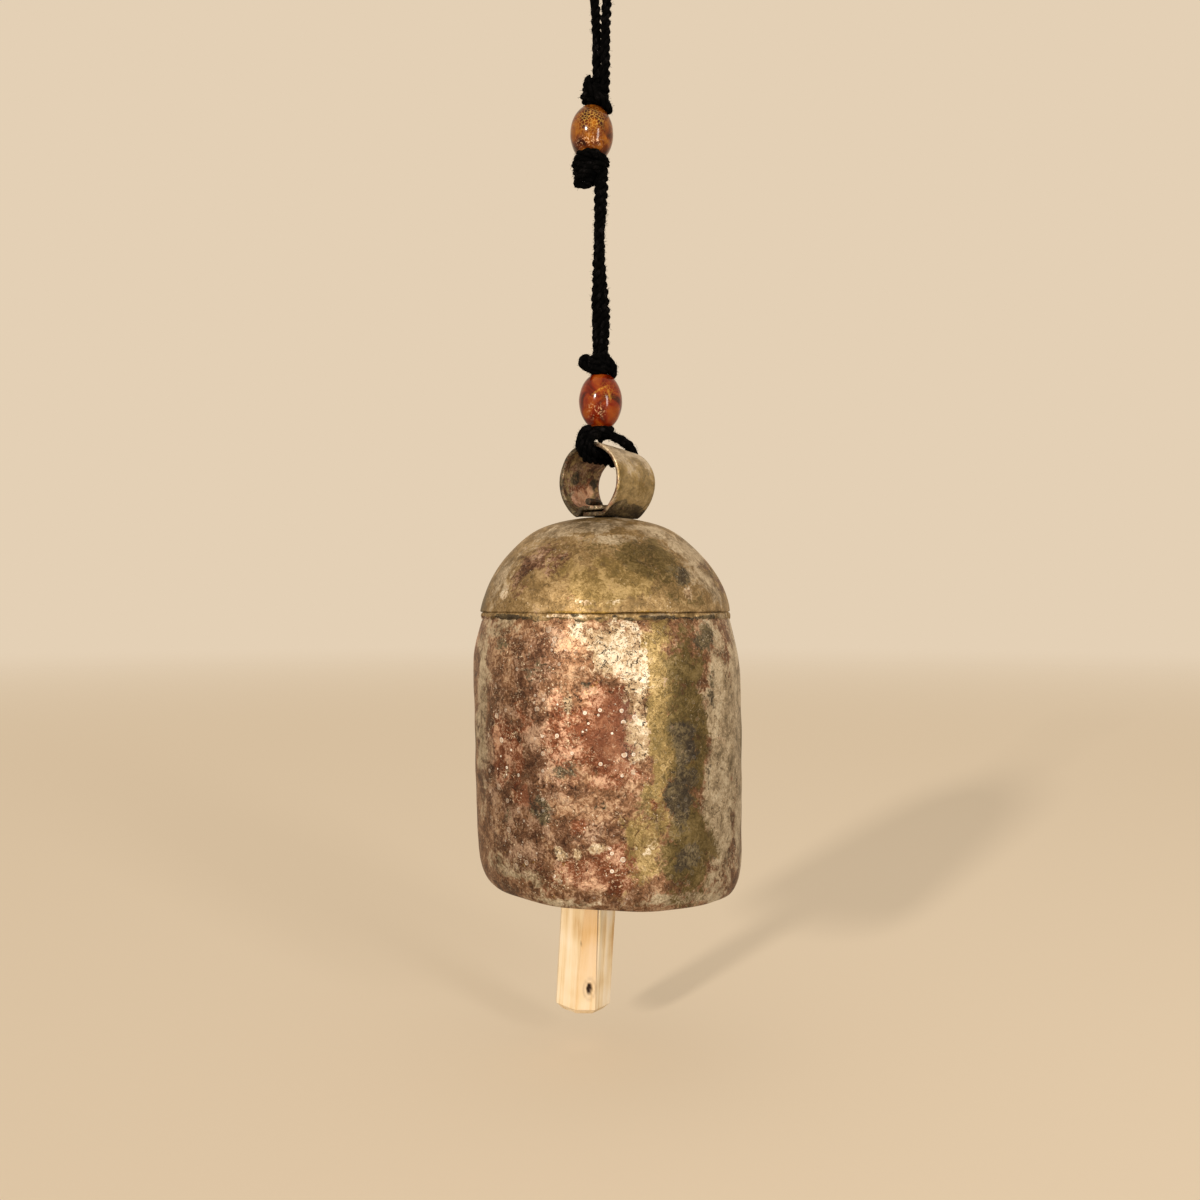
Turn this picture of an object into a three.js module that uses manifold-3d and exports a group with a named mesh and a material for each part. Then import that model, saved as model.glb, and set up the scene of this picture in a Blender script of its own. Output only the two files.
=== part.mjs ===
// A hanging meditation bell, in millimetres, +Z up.
// A rolled sheet shell under a lapped domed cap, a curled strap on top, a wire-hung wooden clapper,
// and a doubled cotton cord with two beads between knots.
// The origin is the inside top of the cord's hanging loop. The strap's curl is open along Y.
import * as THREE from 'three'
import { mergeVertices } from 'three/addons/utils/BufferGeometryUtils.js'
import { ConvexGeometry } from 'three/addons/geometries/ConvexGeometry.js'
import Module from 'manifold-3d'

const wasm = await Module()
wasm.setup()

// Gaps: pieces that touch on the real bell keep this much air
const SEAT = 0.3
const WIRE_HOLE_CLEARANCE = 0.35
const KNOT_ON_BEAD = 0.45

// Cord
const CORD_DIAMETER = 2.5
const LOOP_LENGTH = 20
const LOOP_HALF_WIDTH = 4.3
const LOOP_FOOT_HALF_WIDTH = 2.15
const STRAND_HALF_SPACING = 1.43
const STRAND_LENGTH = 21.3

// Beads, oval with a bore for the doubled cord
const BEAD_DIAMETER = 12.3
const BEAD_OVAL_LENGTH = 16.4
const BEAD_BORE_DIAMETER = 4.8
const UPPER_BEAD_X = -3.4
const UPPER_BEAD_Z = -56.6
const LOWER_BEAD_X = -0.2
const LOWER_BEAD_Z = -133.3

// Knots, as the radius where each hugs its bead and the height past the bead's widest point
const UPPER_TOP_KNOT_RADIUS = 4.7
const UPPER_BOTTOM_KNOT_RADIUS = 5.0
const LOWER_TOP_KNOT_RADIUS = 4.5
const HITCH_KNOT_RADIUS = 4.3
const TAIL_RADIUS = 2.1

// Hitch: the cord round the strap, and the round underside of the knot that it swings on
const HITCH_DIAMETER = 3
const HITCH_BALL_RADIUS = 3.5
const HITCH_BALL_DROP = 2.7

// Rope between the two beads
const ROPE_X = -0.4
const ROPE_DIAMETER = 4.2
const ROPE_SWELL = 1.5
const ROPE_TOP_Z = -72.9
const ROPE_BOTTOM_Z = -120.2

// Bell: its axis stands a little to one side of the cord
const BELL_X = 2.2
const STRAP_OUTER_DIAMETER = 21.4
const STRAP_WIDTH = 17
const STRAP_THICKNESS = 1.2
const STRAP_CENTRE_Z = -156.4
const STRAP_SEAT_DROP = 9.6
const CAP_RADIUS = 34.9
const CAP_HEIGHT = 26.6
const CAP_WALL = 1.3
const CAP_ROUNDNESS = 2.3
const CAP_SHOULDER = 1.6
const SHELL_WALL = 1.4
const SHELL_SHOULDER_RADIUS = 34.3
const SHELL_RADIUS = 37.5
const SHELL_RIM_RADIUS = 34.4
const SHELL_HEIGHT = 75.4
const SHELL_SHOULDER_HEIGHT = 22
const SHELL_RIM_HEIGHT = 11
const SHELL_RIM_THICKNESS = 1.8
const NECK_LAP = 6.5
const SEAM_LAP = 1.2
const SEAM_WIDTH_DEG = 12

// The shell hangs a little crooked: its rim sits off the axis and dips on one side
const SHELL_LEAN = 1
const RIM_DIP = 1.3
const LEAN_DIRECTION_DEG = 38

// Wire and clapper
const WIRE_DIAMETER = 2
const STAPLE_HALF_SPACING = 2.6
const STAPLE_DROP = 8.2
const STAPLE_TIP = 5.5
const STAPLE_BEND = 1.5
const LINK_HEIGHT = 12.4
const LINK_HALF_WIDTH = 5.6
const LINK_CORNER = 2
const CLAPPER_LENGTH = 125
const CLAPPER_SIDE = 12.9
const CLAPPER_BEVEL = 2
const CLAPPER_TOP_ABOVE_HOLE = 4.2
const CLAPPER_TONGUE_THICKNESS = 8
const CLAPPER_TONGUE_HEIGHT = 13
const CLAPPER_FOOT_LENGTH = 38
const CLAPPER_FOOT_BEVEL = 4
const CLAPPER_END_HEIGHT = 1.6
const CLAPPER_END_SIDE = 10.2
const CLAPPER_LEAN_DEG = 4.3

// Levels that follow from the sizes above
const CAP_APEX_Z = STRAP_CENTRE_Z - STRAP_SEAT_DROP - SEAT
const CAP_LIP_Z = CAP_APEX_Z - CAP_HEIGHT
const RIM_Z = CAP_LIP_Z - SHELL_HEIGHT
const STAPLE_LOW_Z = CAP_APEX_Z - CAP_WALL - STAPLE_DROP
const LINK_TOP_Z = STAPLE_LOW_Z + WIRE_DIAMETER + SEAT
const LINK_LOW_Z = LINK_TOP_Z - LINK_HEIGHT
const STRAND_TOP_Z = -LOOP_LENGTH - SEAT
const STRAND_LOW_Z = STRAND_TOP_Z - STRAND_LENGTH
const BEAD_HALF_LENGTH = ovalHeight(BEAD_BORE_DIAMETER / 2 + 0.5)

// Materials
const cotton = new THREE.MeshStandardMaterial({ color: 0x17161a, roughness: 0.95, metalness: 0 })
const amber = new THREE.MeshStandardMaterial({ color: 0xb85a16, roughness: 0.2, metalness: 0 })
const redAmber = new THREE.MeshStandardMaterial({ color: 0xa83a14, roughness: 0.2, metalness: 0 })
const strapBrass = new THREE.MeshStandardMaterial({ color: 0x8f8158, roughness: 0.5, metalness: 0.9 })
const capBrass = new THREE.MeshStandardMaterial({ color: 0x8c7740, roughness: 0.5, metalness: 0.9 })
const shellBrass = new THREE.MeshStandardMaterial({ color: 0x9a6a48, roughness: 0.5, metalness: 0.85 })
const steelWire = new THREE.MeshStandardMaterial({ color: 0x4a453f, roughness: 0.55, metalness: 0.9 })
const paleWood = new THREE.MeshStandardMaterial({ color: 0xd8b887, roughness: 0.75, metalness: 0 })

const bell = new THREE.Group()
bell.position.x = BELL_X

// Helpers

function pt(x, y, z) {
  return new THREE.Vector3(x, y, z)
}

// Height of the bead's oval outline at a given radius
function ovalHeight(radius) {
  return (BEAD_OVAL_LENGTH / 2) * Math.sqrt(1 - (2 * radius / BEAD_DIAMETER) ** 2)
}

// Keeps positions only and shares the vertices that coincide
function closed(geometry) {
  geometry.deleteAttribute('normal')
  geometry.deleteAttribute('uv')
  return mergeVertices(geometry, 1e-4)
}

function toSolid(geometry) {
  const g = closed(geometry.clone())
  const vertProperties = new Float32Array(g.attributes.position.array)
  const triVerts = new Uint32Array(g.index.array)
  return new wasm.Manifold(new wasm.Mesh({ numProp: 3, vertProperties, triVerts }))
}

function fromSolid(solid) {
  const mesh = solid.getMesh()
  const geometry = new THREE.BufferGeometry()
  geometry.setAttribute('position', new THREE.BufferAttribute(new Float32Array(mesh.vertProperties), 3))
  geometry.setIndex(Array.from(mesh.triVerts))
  return geometry
}

function join(...geometries) {
  return fromSolid(geometries.map(toSolid).reduce((whole, piece) => whole.add(piece)))
}

function cut(geometry, ...tools) {
  return fromSolid(tools.map(toSolid).reduce((whole, tool) => whole.subtract(tool), toSolid(geometry)))
}

// A turned solid about Z, from points [radius, z] listed from the top down the outside
function turned(points, segments) {
  const profile = points.map(([radius, z]) => new THREE.Vector2(radius, z)).reverse()
  return closed(new THREE.LatheGeometry(profile, segments)).rotateX(Math.PI / 2)
}

// Moves each vertex by a rule that returns its new place
function reshaped(geometry, rule) {
  const places = geometry.attributes.position
  for (let i = 0; i < places.count; i++) {
    const moved = rule(pt(places.getX(i), places.getY(i), places.getZ(i)))
    places.setXYZ(i, moved.x, moved.y, moved.z)
  }
  return geometry
}

function tube(path, radius, steps, sides = 8) {
  const section = new THREE.Shape()
  for (let k = 0; k < sides; k++) {
    const angle = (k / sides) * Math.PI * 2
    const corner = [radius * Math.cos(angle), radius * Math.sin(angle)]
    k ? section.lineTo(...corner) : section.moveTo(...corner)
  }
  return closed(new THREE.ExtrudeGeometry(section, { steps, extrudePath: path }))
}

function ball(radius, place, detail = 10) {
  return new THREE.SphereGeometry(radius, detail, detail - 2).translate(place.x, place.y, place.z)
}

// A rod along one axis through a point, used for bores
function rodAlong(axis, radius, length, place) {
  const rod = new THREE.CylinderGeometry(radius, radius, length, 16)
  if (axis === 'z') rod.rotateX(Math.PI / 2)
  return rod.translate(place.x, place.y, place.z)
}

// Offsets an open line of points [a, b] sideways, to the left of its run
function offsetLine(points, distance) {
  return points.map(([a, b], i) => {
    const before = points[Math.max(i - 1, 0)]
    const after = points[Math.min(i + 1, points.length - 1)]
    const run = new THREE.Vector2(after[0] - before[0], after[1] - before[1]).normalize()
    return [a - run.y * distance, b + run.x * distance]
  })
}

function add(parent, name, geometry, material) {
  const mesh = new THREE.Mesh(geometry, material)
  mesh.name = name
  parent.add(mesh)
}

// Cord

// The hanging loop: up one side, over the top and down the other, with rounded feet
function hangingLoop() {
  const top = CORD_DIAMETER / 2
  const half = [
    [LOOP_FOOT_HALF_WIDTH, -LOOP_LENGTH + top],
    [LOOP_HALF_WIDTH * 0.72, -LOOP_LENGTH * 0.7],
    [LOOP_HALF_WIDTH, -LOOP_LENGTH * 0.32],
    [LOOP_HALF_WIDTH * 0.72, -LOOP_LENGTH * 0.02],
  ]
  const route = [
    ...half.map(([x, z]) => pt(-x, 0, z)),
    pt(0, 0, top),
    ...half.toReversed().map(([x, z]) => pt(x, 0, z)),
  ]
  const path = new THREE.CatmullRomCurve3(route, false, 'centripetal')
  const feet = [route[0], route.at(-1)].map((foot) => ball(top * 0.97, foot))
  return join(tube(path, top, 26), ...feet)
}

// One strand from the loop's foot down to the upper knot, with a rounded top
function strand(side) {
  const radius = CORD_DIAMETER / 2
  const path = new THREE.CatmullRomCurve3([
    pt(side * LOOP_FOOT_HALF_WIDTH, 0, STRAND_TOP_Z - radius),
    pt(side * (STRAND_HALF_SPACING + 0.12), 0, STRAND_TOP_Z - STRAND_LENGTH * 0.4),
    pt(side * STRAND_HALF_SPACING, 0, STRAND_LOW_Z),
  ])
  return join(tube(path, radius, 8), ball(radius * 0.97, path.points[0]))
}

// The profile of a knot that hugs one end of a bead, measured from the bead's middle.
// It runs from the axis at the far end out to the skirt and back in along the bead's end to the bore.
function knotProfile(skirtRadius, farHeight, farRadius) {
  const bore = BEAD_BORE_DIAMETER / 2 - SEAT
  const hug = [skirtRadius, skirtRadius * 0.8, bore + 0.6].map((radius) => [radius, ovalHeight(radius) + KNOT_ON_BEAD])
  const skirt = [skirtRadius + 0.25, hug[0][1] + 0.9]
  const belly = [(skirtRadius + farRadius) / 2 + 0.5, (skirt[1] + farHeight) / 2]
  return [[0, farHeight], [farRadius * 0.7, farHeight], [farRadius, farHeight - 0.7], belly, skirt, ...hug]
}

// Gives a knot its gentle three-way swell and leans its far part sideways.
// What hugs the bead and what runs through the bore stays as turned.
function tied(place, farHeight, shift, turn) {
  const radius = Math.hypot(place.x, place.y)
  const free = place.z - ovalHeight(Math.min(radius, BEAD_DIAMETER / 2)) - 1.3 * KNOT_ON_BEAD
  if (free <= 0) return place
  const swell = 1 + 0.06 * Math.sin(3 * Math.atan2(place.y, place.x) + turn)
  const share = Math.min(free / (farHeight - BEAD_HALF_LENGTH), 1)
  return pt(place.x * swell + shift * share, place.y * swell, place.z)
}

// A knot above its bead, in the bead's own frame
function knotAbove(skirtRadius, farHeight, farRadius, shift) {
  const profile = [...knotProfile(skirtRadius, farHeight, farRadius), [0, BEAD_HALF_LENGTH + KNOT_ON_BEAD]]
  return reshaped(turned(profile, 16), (place) => tied(place, farHeight, shift, 1))
}

// A knot below its bead with the cord that runs up through the bead's bore
function knotBelow(skirtRadius, farHeight, farRadius, shift) {
  const bore = BEAD_BORE_DIAMETER / 2 - SEAT
  const cord = [[bore, BEAD_HALF_LENGTH], [bore, -BEAD_HALF_LENGTH], [0, -BEAD_HALF_LENGTH]]
  const profile = [...knotProfile(skirtRadius, farHeight, farRadius), ...cord]
  return reshaped(turned(profile, 16), (place) => tied(place, farHeight, shift, 2)).rotateX(Math.PI)
}

function bead() {
  const bore = BEAD_BORE_DIAMETER / 2
  const mouth = bore + 0.5
  const steps = 10
  const points = []
  for (let k = 0; k <= steps; k++) {
    const height = BEAD_HALF_LENGTH * Math.cos((k / steps) * Math.PI)
    points.push([(BEAD_DIAMETER / 2) * Math.sqrt(1 - (2 * height / BEAD_OVAL_LENGTH) ** 2), height])
  }
  points[0][0] = mouth
  points[steps][0] = mouth
  points.push([bore, -BEAD_HALF_LENGTH + 0.4], [bore, BEAD_HALF_LENGTH - 0.4], points[0])
  return turned(points, 22)
}

// The braided rope as a plain rod that swells towards its lower end, with a rounded top
function rope() {
  const radius = ROPE_DIAMETER / 2
  const length = ROPE_TOP_Z - ROPE_BOTTOM_Z
  const points = [[0, ROPE_TOP_Z], [radius * 0.6, ROPE_TOP_Z - radius * 0.25], [radius * 0.92, ROPE_TOP_Z - radius * 0.8]]
  const rings = 12
  for (let k = 1; k <= rings; k++) {
    const along = k / rings
    const swell = (ROPE_SWELL / 2) * Math.exp(-(((along - 0.78) / 0.2) ** 2))
    points.push([radius * 0.92 + swell, ROPE_TOP_Z - length * along])
  }
  points.push([0, ROPE_BOTTOM_Z])
  return turned(points, 10).translate(ROPE_X, 0, 0)
}

// The part of the upper knot that the rope leaves: a short round-ended neck
function ropeNeck() {
  const radius = ROPE_DIAMETER / 2
  const low = ROPE_TOP_Z + SEAT
  const points = [[0, low + 7], [radius, low + 7], [radius, low + radius * 0.8], [radius * 0.6, low + radius * 0.25], [0, low]]
  return turned(points, 12).translate(ROPE_X, 0, 0)
}

const HITCH_PIVOT_Z = LOWER_BEAD_Z - ovalHeight(HITCH_KNOT_RADIUS) - HITCH_BALL_DROP

// The cord from one flank of the hitch knot, over the strap's edge, under its top and back to the other flank
function strapHitch() {
  const radius = HITCH_DIAMETER / 2
  const away = radius + SEAT + 0.05
  const outside = STRAP_OUTER_DIAMETER / 2
  const inside = outside - STRAP_THICKNESS
  const strapTop = STRAP_CENTRE_Z + outside
  const strapUnder = STRAP_CENTRE_Z + Math.sqrt(inside ** 2 - radius ** 2)
  const edge = STRAP_WIDTH / 2
  const half = [[0, HITCH_BALL_RADIUS + SEAT + 0.1, strapTop + away]]
  for (const degrees of [90, 60, 30, 5, -5, -30, -60, -90]) {
    const turn = THREE.MathUtils.degToRad(degrees)
    const level = degrees > 0 ? strapTop : strapUnder
    half.push([BELL_X, edge + away * Math.cos(turn), level + away * Math.sin(turn)])
  }
  const route = [...half.map(([x, y, z]) => pt(x, -y, z)), ...half.toReversed().map(([x, y, z]) => pt(x, y, z))]
  return tube(new THREE.CatmullRomCurve3(route, false, 'centripetal'), radius, 42)
}

// Below the lower bead: a knot that hugs the bead and ends in a round underside
function hitchKnot() {
  const profile = knotProfile(HITCH_KNOT_RADIUS, ovalHeight(HITCH_KNOT_RADIUS) + 2.2, HITCH_BALL_RADIUS)
  const hug = profile.slice(4)
  const pivot = LOWER_BEAD_Z - HITCH_PIVOT_Z
  const round = []
  for (const angle of [90, 65, 40, 15]) {
    const turn = THREE.MathUtils.degToRad(angle)
    round.push([HITCH_BALL_RADIUS * Math.cos(turn), pivot + HITCH_BALL_RADIUS * Math.sin(turn)])
  }
  round[0][0] = 0
  const points = [...round, [HITCH_BALL_RADIUS + 0.1, pivot - 0.6], ...hug, [0, BEAD_HALF_LENGTH + KNOT_ON_BEAD]]
  return turned(points, 18).rotateX(Math.PI)
}

// Bell

// The cap's outline as a rounded dome: points [radius, z] from the axis down to the lip
function dome(radius, height, steps) {
  const points = []
  for (let k = 0; k <= steps; k++) {
    const angle = (Math.PI / 2) * (1 - k / steps)
    const out = k ? radius * Math.cos(angle) ** (2 / CAP_ROUNDNESS) : 0
    points.push([out, CAP_LIP_Z + height * Math.sin(angle) ** (2 / CAP_SHOULDER)])
  }
  return points
}

function staplePlaces(z) {
  return [-STAPLE_HALF_SPACING, STAPLE_HALF_SPACING].map((x) => pt(x, 0, z))
}

function stapleHoles(z, depth) {
  return staplePlaces(z).map((place) => rodAlong('z', WIRE_DIAMETER / 2 + WIRE_HOLE_CLEARANCE, depth, place))
}

function crownCap() {
  const outer = dome(CAP_RADIUS, CAP_HEIGHT, 12)
  const inner = dome(CAP_RADIUS - CAP_WALL, CAP_HEIGHT - CAP_WALL, 9)
  const cap = turned([...outer, ...inner.toReversed()], 60)
  return cut(cap, ...stapleHoles(CAP_APEX_Z, 4 * CAP_WALL))
}

// The shell's outer outline, from the top of the neck under the cap down to the rim's edge
function shellOutline() {
  const inset = CAP_WALL + SEAT
  const neck = dome(CAP_RADIUS - inset, CAP_HEIGHT - inset, 18).filter(([, z]) => z < CAP_LIP_Z + NECK_LAP)
  const ledge = CAP_LIP_Z - SEAT
  const shoulder = new THREE.CubicBezierCurve(
    new THREE.Vector2(SHELL_SHOULDER_RADIUS, ledge - 0.3),
    new THREE.Vector2(SHELL_SHOULDER_RADIUS + 1.6, ledge - 0.25 * SHELL_SHOULDER_HEIGHT),
    new THREE.Vector2(SHELL_RADIUS, ledge - 0.5 * SHELL_SHOULDER_HEIGHT),
    new THREE.Vector2(SHELL_RADIUS, ledge - SHELL_SHOULDER_HEIGHT),
  )
  const waist = SHELL_RADIUS - 0.7
  const rimTop = RIM_Z + SHELL_RIM_HEIGHT
  const rim = new THREE.CubicBezierCurve(
    new THREE.Vector2(waist, rimTop),
    new THREE.Vector2(waist, RIM_Z + 0.45 * SHELL_RIM_HEIGHT),
    new THREE.Vector2(SHELL_RIM_RADIUS + 1.4, RIM_Z + 0.12 * SHELL_RIM_HEIGHT),
    new THREE.Vector2(SHELL_RIM_RADIUS, RIM_Z),
  )
  const middle = [0.33, 0.67].map((share) => [
    SHELL_RADIUS - 0.7 * share ** 2,
    THREE.MathUtils.lerp(ledge - SHELL_SHOULDER_HEIGHT, rimTop, share),
  ])
  const plain = (curve, count) => curve.getPoints(count).map((point) => [point.x, point.y])
  const lastOfNeck = [neck.at(-1)[0], ledge]
  return [...neck.slice(0, -1), lastOfNeck, ...plain(shoulder, 6), ...middle, ...plain(rim, 6)]
}

// The rolled sheet's lap: one end rides over the other at the back, with a sharp edge on one side
function seamLift(angle) {
  const back = THREE.MathUtils.radToDeg(angle) - 90
  return back > 0 && back <= SEAM_WIDTH_DEG ? SEAM_LAP : 0
}

// Moves the shell sideways and down towards one side, more the lower it is
function hungCrooked(place) {
  const share = (CAP_LIP_Z - place.z) / (CAP_LIP_Z - RIM_Z)
  if (share <= 0) return place
  const lean = THREE.MathUtils.degToRad(LEAN_DIRECTION_DEG)
  const along = (place.x * Math.cos(lean) + place.y * Math.sin(lean)) / SHELL_RADIUS
  const sideways = SHELL_LEAN * share
  const dip = RIM_DIP * along * share ** 3
  return pt(place.x + sideways * Math.cos(lean), place.y + sideways * Math.sin(lean), place.z - dip)
}

function bellShell() {
  const outer = shellOutline()
  const inner = offsetLine(outer, -SHELL_WALL).filter((_, i) => i % 2 === 0)
  inner.push([SHELL_RIM_RADIUS - SHELL_RIM_THICKNESS, RIM_Z])
  const shell = turned([...outer, ...inner.toReversed(), outer[0]], 60)
  const lapTop = CAP_LIP_Z - 1.5
  return reshaped(shell, (place) => {
    const radius = Math.hypot(place.x, place.y)
    const angle = Math.atan2(place.y, place.x)
    const outline = outer.some(([r, z]) => Math.abs(r - radius) < 1e-3 && Math.abs(z - place.z) < 1e-3)
    const lapped = outline && place.z <= lapTop && place.z >= RIM_Z + 0.5
    const grown = lapped ? (radius + seamLift(angle)) / radius : 1
    return hungCrooked(pt(place.x * grown, place.y * grown, place.z))
  })
}

// The strip's middle line in XZ: a flat foot, once round, and a second foot lapped inside the first
function strapLine() {
  const middle = (STRAP_OUTER_DIAMETER - STRAP_THICKNESS) / 2
  const foot = STRAP_CENTRE_Z - STRAP_SEAT_DROP + STRAP_THICKNESS / 2
  const lap = foot + STRAP_THICKNESS + SEAT
  const start = -Math.acos((STRAP_CENTRE_Z - foot) / middle)
  const end = Math.acos((STRAP_CENTRE_Z - lap) / middle)
  const from = -Math.PI / 2 - start
  const to = 1.5 * Math.PI - end
  const steps = 30
  const line = [[-middle * 0.45, foot], [0, foot]]
  for (let k = 0; k <= steps; k++) {
    const angle = from + ((to - from) * k) / steps
    line.push([middle * Math.cos(angle), STRAP_CENTRE_Z + middle * Math.sin(angle)])
  }
  line.push([-middle * 0.2, lap], [middle * 0.43, lap])
  return line
}

function hangerStrap() {
  const line = strapLine()
  const outline = [...offsetLine(line, -STRAP_THICKNESS / 2), ...offsetLine(line, STRAP_THICKNESS / 2).toReversed()]
  const shape = new THREE.Shape(outline.map(([x, z]) => new THREE.Vector2(x, z)))
  const strip = new THREE.ExtrudeGeometry(shape, { depth: STRAP_WIDTH, bevelEnabled: false, steps: 1 })
  strip.rotateX(Math.PI / 2).translate(0, STRAP_WIDTH / 2, 0)
  return cut(strip, ...stapleHoles(STRAP_CENTRE_Z - STRAP_SEAT_DROP, 3 * STRAP_WIDTH / 4))
}

// Wire work

// A quarter turn between two straight runs, as a curve from a through the corner towards b
function bend(a, corner, b) {
  return new THREE.QuadraticBezierCurve3(a, corner, b)
}

// The wire that rivets the strap to the cap: a U under the cap whose legs are bent flat inside the strap
function clapperStaple() {
  const radius = WIRE_DIAMETER / 2
  const lapTop = STRAP_CENTRE_Z - STRAP_SEAT_DROP + 2 * STRAP_THICKNESS + SEAT
  const tipZ = lapTop + SEAT + radius
  const x = STAPLE_HALF_SPACING
  const uCentre = STAPLE_LOW_Z + x
  const path = new THREE.CurvePath()
  path.add(new THREE.LineCurve3(pt(-x, -STAPLE_TIP, tipZ), pt(-x, -STAPLE_BEND, tipZ)))
  path.add(bend(pt(-x, -STAPLE_BEND, tipZ), pt(-x, 0, tipZ), pt(-x, 0, tipZ - STAPLE_BEND)))
  path.add(new THREE.LineCurve3(pt(-x, 0, tipZ - STAPLE_BEND), pt(-x, 0, uCentre)))
  const around = []
  for (let k = 0; k <= 8; k++) {
    const angle = Math.PI + (Math.PI * k) / 8
    around.push(pt(x * Math.cos(angle), 0, uCentre + x * Math.sin(angle)))
  }
  path.add(new THREE.CatmullRomCurve3(around))
  path.add(new THREE.LineCurve3(pt(x, 0, uCentre), pt(x, 0, tipZ - STAPLE_BEND)))
  path.add(bend(pt(x, 0, tipZ - STAPLE_BEND), pt(x, 0, tipZ), pt(x, STAPLE_BEND, tipZ)))
  path.add(new THREE.LineCurve3(pt(x, STAPLE_BEND, tipZ), pt(x, STAPLE_TIP, tipZ)))
  return tube(path, radius, 46)
}

// The wire stirrup between staple and clapper: an arched top and a straight foot through the wood
function clapperLink() {
  const w = LINK_HALF_WIDTH
  const corner = LINK_CORNER
  const archCentre = LINK_TOP_Z - w
  const path = new THREE.CurvePath()
  const arch = []
  for (let k = 0; k <= 10; k++) {
    const angle = (Math.PI * k) / 10
    arch.push(pt(0, w * Math.cos(angle), archCentre + w * Math.sin(angle)))
  }
  path.add(new THREE.CatmullRomCurve3(arch))
  path.add(new THREE.LineCurve3(pt(0, -w, archCentre), pt(0, -w, LINK_LOW_Z + corner)))
  path.add(bend(pt(0, -w, LINK_LOW_Z + corner), pt(0, -w, LINK_LOW_Z), pt(0, corner - w, LINK_LOW_Z)))
  path.add(new THREE.LineCurve3(pt(0, corner - w, LINK_LOW_Z), pt(0, w - corner, LINK_LOW_Z)))
  path.add(bend(pt(0, w - corner, LINK_LOW_Z), pt(0, w, LINK_LOW_Z), pt(0, w, LINK_LOW_Z + corner)))
  path.add(new THREE.LineCurve3(pt(0, w, LINK_LOW_Z + corner), pt(0, w, archCentre)))
  return closed(new THREE.TubeGeometry(path, 44, WIRE_DIAMETER / 2, 8, true))
}

// One bevelled square across the stick, as corner points at a height
function bevelledSquare(side, bevel, z) {
  const a = side / 2
  const b = a - bevel
  return [[a, b], [b, a], [-b, a], [-a, b], [-a, -b], [-b, -a], [b, -a], [a, -b]].map(([x, y]) => pt(x, y, z))
}

// The whittled stick, upright with its hole at the group's origin
function clapper() {
  const top = CLAPPER_TOP_ABOVE_HOLE
  const bottom = top - CLAPPER_LENGTH
  const stick = new ConvexGeometry([
    ...bevelledSquare(CLAPPER_SIDE, CLAPPER_BEVEL, top),
    ...bevelledSquare(CLAPPER_SIDE, CLAPPER_BEVEL, bottom + CLAPPER_FOOT_LENGTH),
    ...bevelledSquare(CLAPPER_SIDE, CLAPPER_FOOT_BEVEL, bottom + CLAPPER_END_HEIGHT),
    ...bevelledSquare(CLAPPER_END_SIDE, 0.8 * CLAPPER_FOOT_BEVEL, bottom),
  ])
  const cheek = (CLAPPER_SIDE - CLAPPER_TONGUE_THICKNESS) / 2 + 1
  const cheekY = CLAPPER_TONGUE_THICKNESS / 2 + cheek / 2
  const cheeks = [-cheekY, cheekY].map((y) => {
    const block = new THREE.BoxGeometry(CLAPPER_SIDE * 2, cheek, CLAPPER_TONGUE_HEIGHT + 1)
    return block.translate(0, y, top + 1 - (CLAPPER_TONGUE_HEIGHT + 1) / 2)
  })
  const hole = rodAlong('y', WIRE_DIAMETER / 2 + WIRE_HOLE_CLEARANCE, CLAPPER_SIDE * 2, pt(0, 0, 0))
  return cut(stick, ...cheeks, hole)
}

// Assembly

const object = new THREE.Group()
object.add(bell)

add(object, 'hanging_loop', hangingLoop(), cotton)
add(object, 'cord_strand_left', strand(-1), cotton)
add(object, 'cord_strand_right', strand(1), cotton)

const upper = new THREE.Group()
upper.position.set(UPPER_BEAD_X, 0, UPPER_BEAD_Z)
object.add(upper)
const upperKnotTop = STRAND_LOW_Z - SEAT - UPPER_BEAD_Z
add(upper, 'upper_knot_top', knotAbove(UPPER_TOP_KNOT_RADIUS, upperKnotTop, 3.1, -UPPER_BEAD_X), cotton)
add(upper, 'upper_bead', bead(), amber)
const upperTail = ball(TAIL_RADIUS, pt(-3, -2.2, -12.6))
const neckInGroup = ropeNeck().translate(-UPPER_BEAD_X, 0, -UPPER_BEAD_Z)
const upperKnot = knotBelow(UPPER_BOTTOM_KNOT_RADIUS, 14.6, 3.6, 0.8)
add(upper, 'upper_knot_bottom', join(upperKnot, upperTail, neckInGroup), cotton)

add(object, 'rope', rope(), cotton)

const lower = new THREE.Group()
lower.position.set(LOWER_BEAD_X, 0, LOWER_BEAD_Z)
object.add(lower)
const lowerKnotTop = ROPE_BOTTOM_Z - SEAT - LOWER_BEAD_Z
const lowerTail = ball(TAIL_RADIUS, pt(-4.6, -2, lowerKnotTop - 3))
const lowerCord = rodAlong('z', BEAD_BORE_DIAMETER / 2 - SEAT, 2 * BEAD_HALF_LENGTH + 1, pt(0, 0, 0.5))
const lowerKnot = knotAbove(LOWER_TOP_KNOT_RADIUS, lowerKnotTop, 3.2, 0)
add(lower, 'lower_knot_top', join(lowerKnot, lowerTail, lowerCord), cotton)
add(lower, 'lower_bead', bead(), redAmber)
add(lower, 'hitch_knot', hitchKnot(), cotton)

add(object, 'strap_hitch', strapHitch(), cotton)

add(bell, 'hanger_strap', hangerStrap(), strapBrass)
add(bell, 'crown_cap', crownCap(), capBrass)
add(bell, 'bell_shell', bellShell(), shellBrass)
add(bell, 'clapper_staple', clapperStaple(), steelWire)
add(bell, 'clapper_link', clapperLink(), steelWire)

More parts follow.
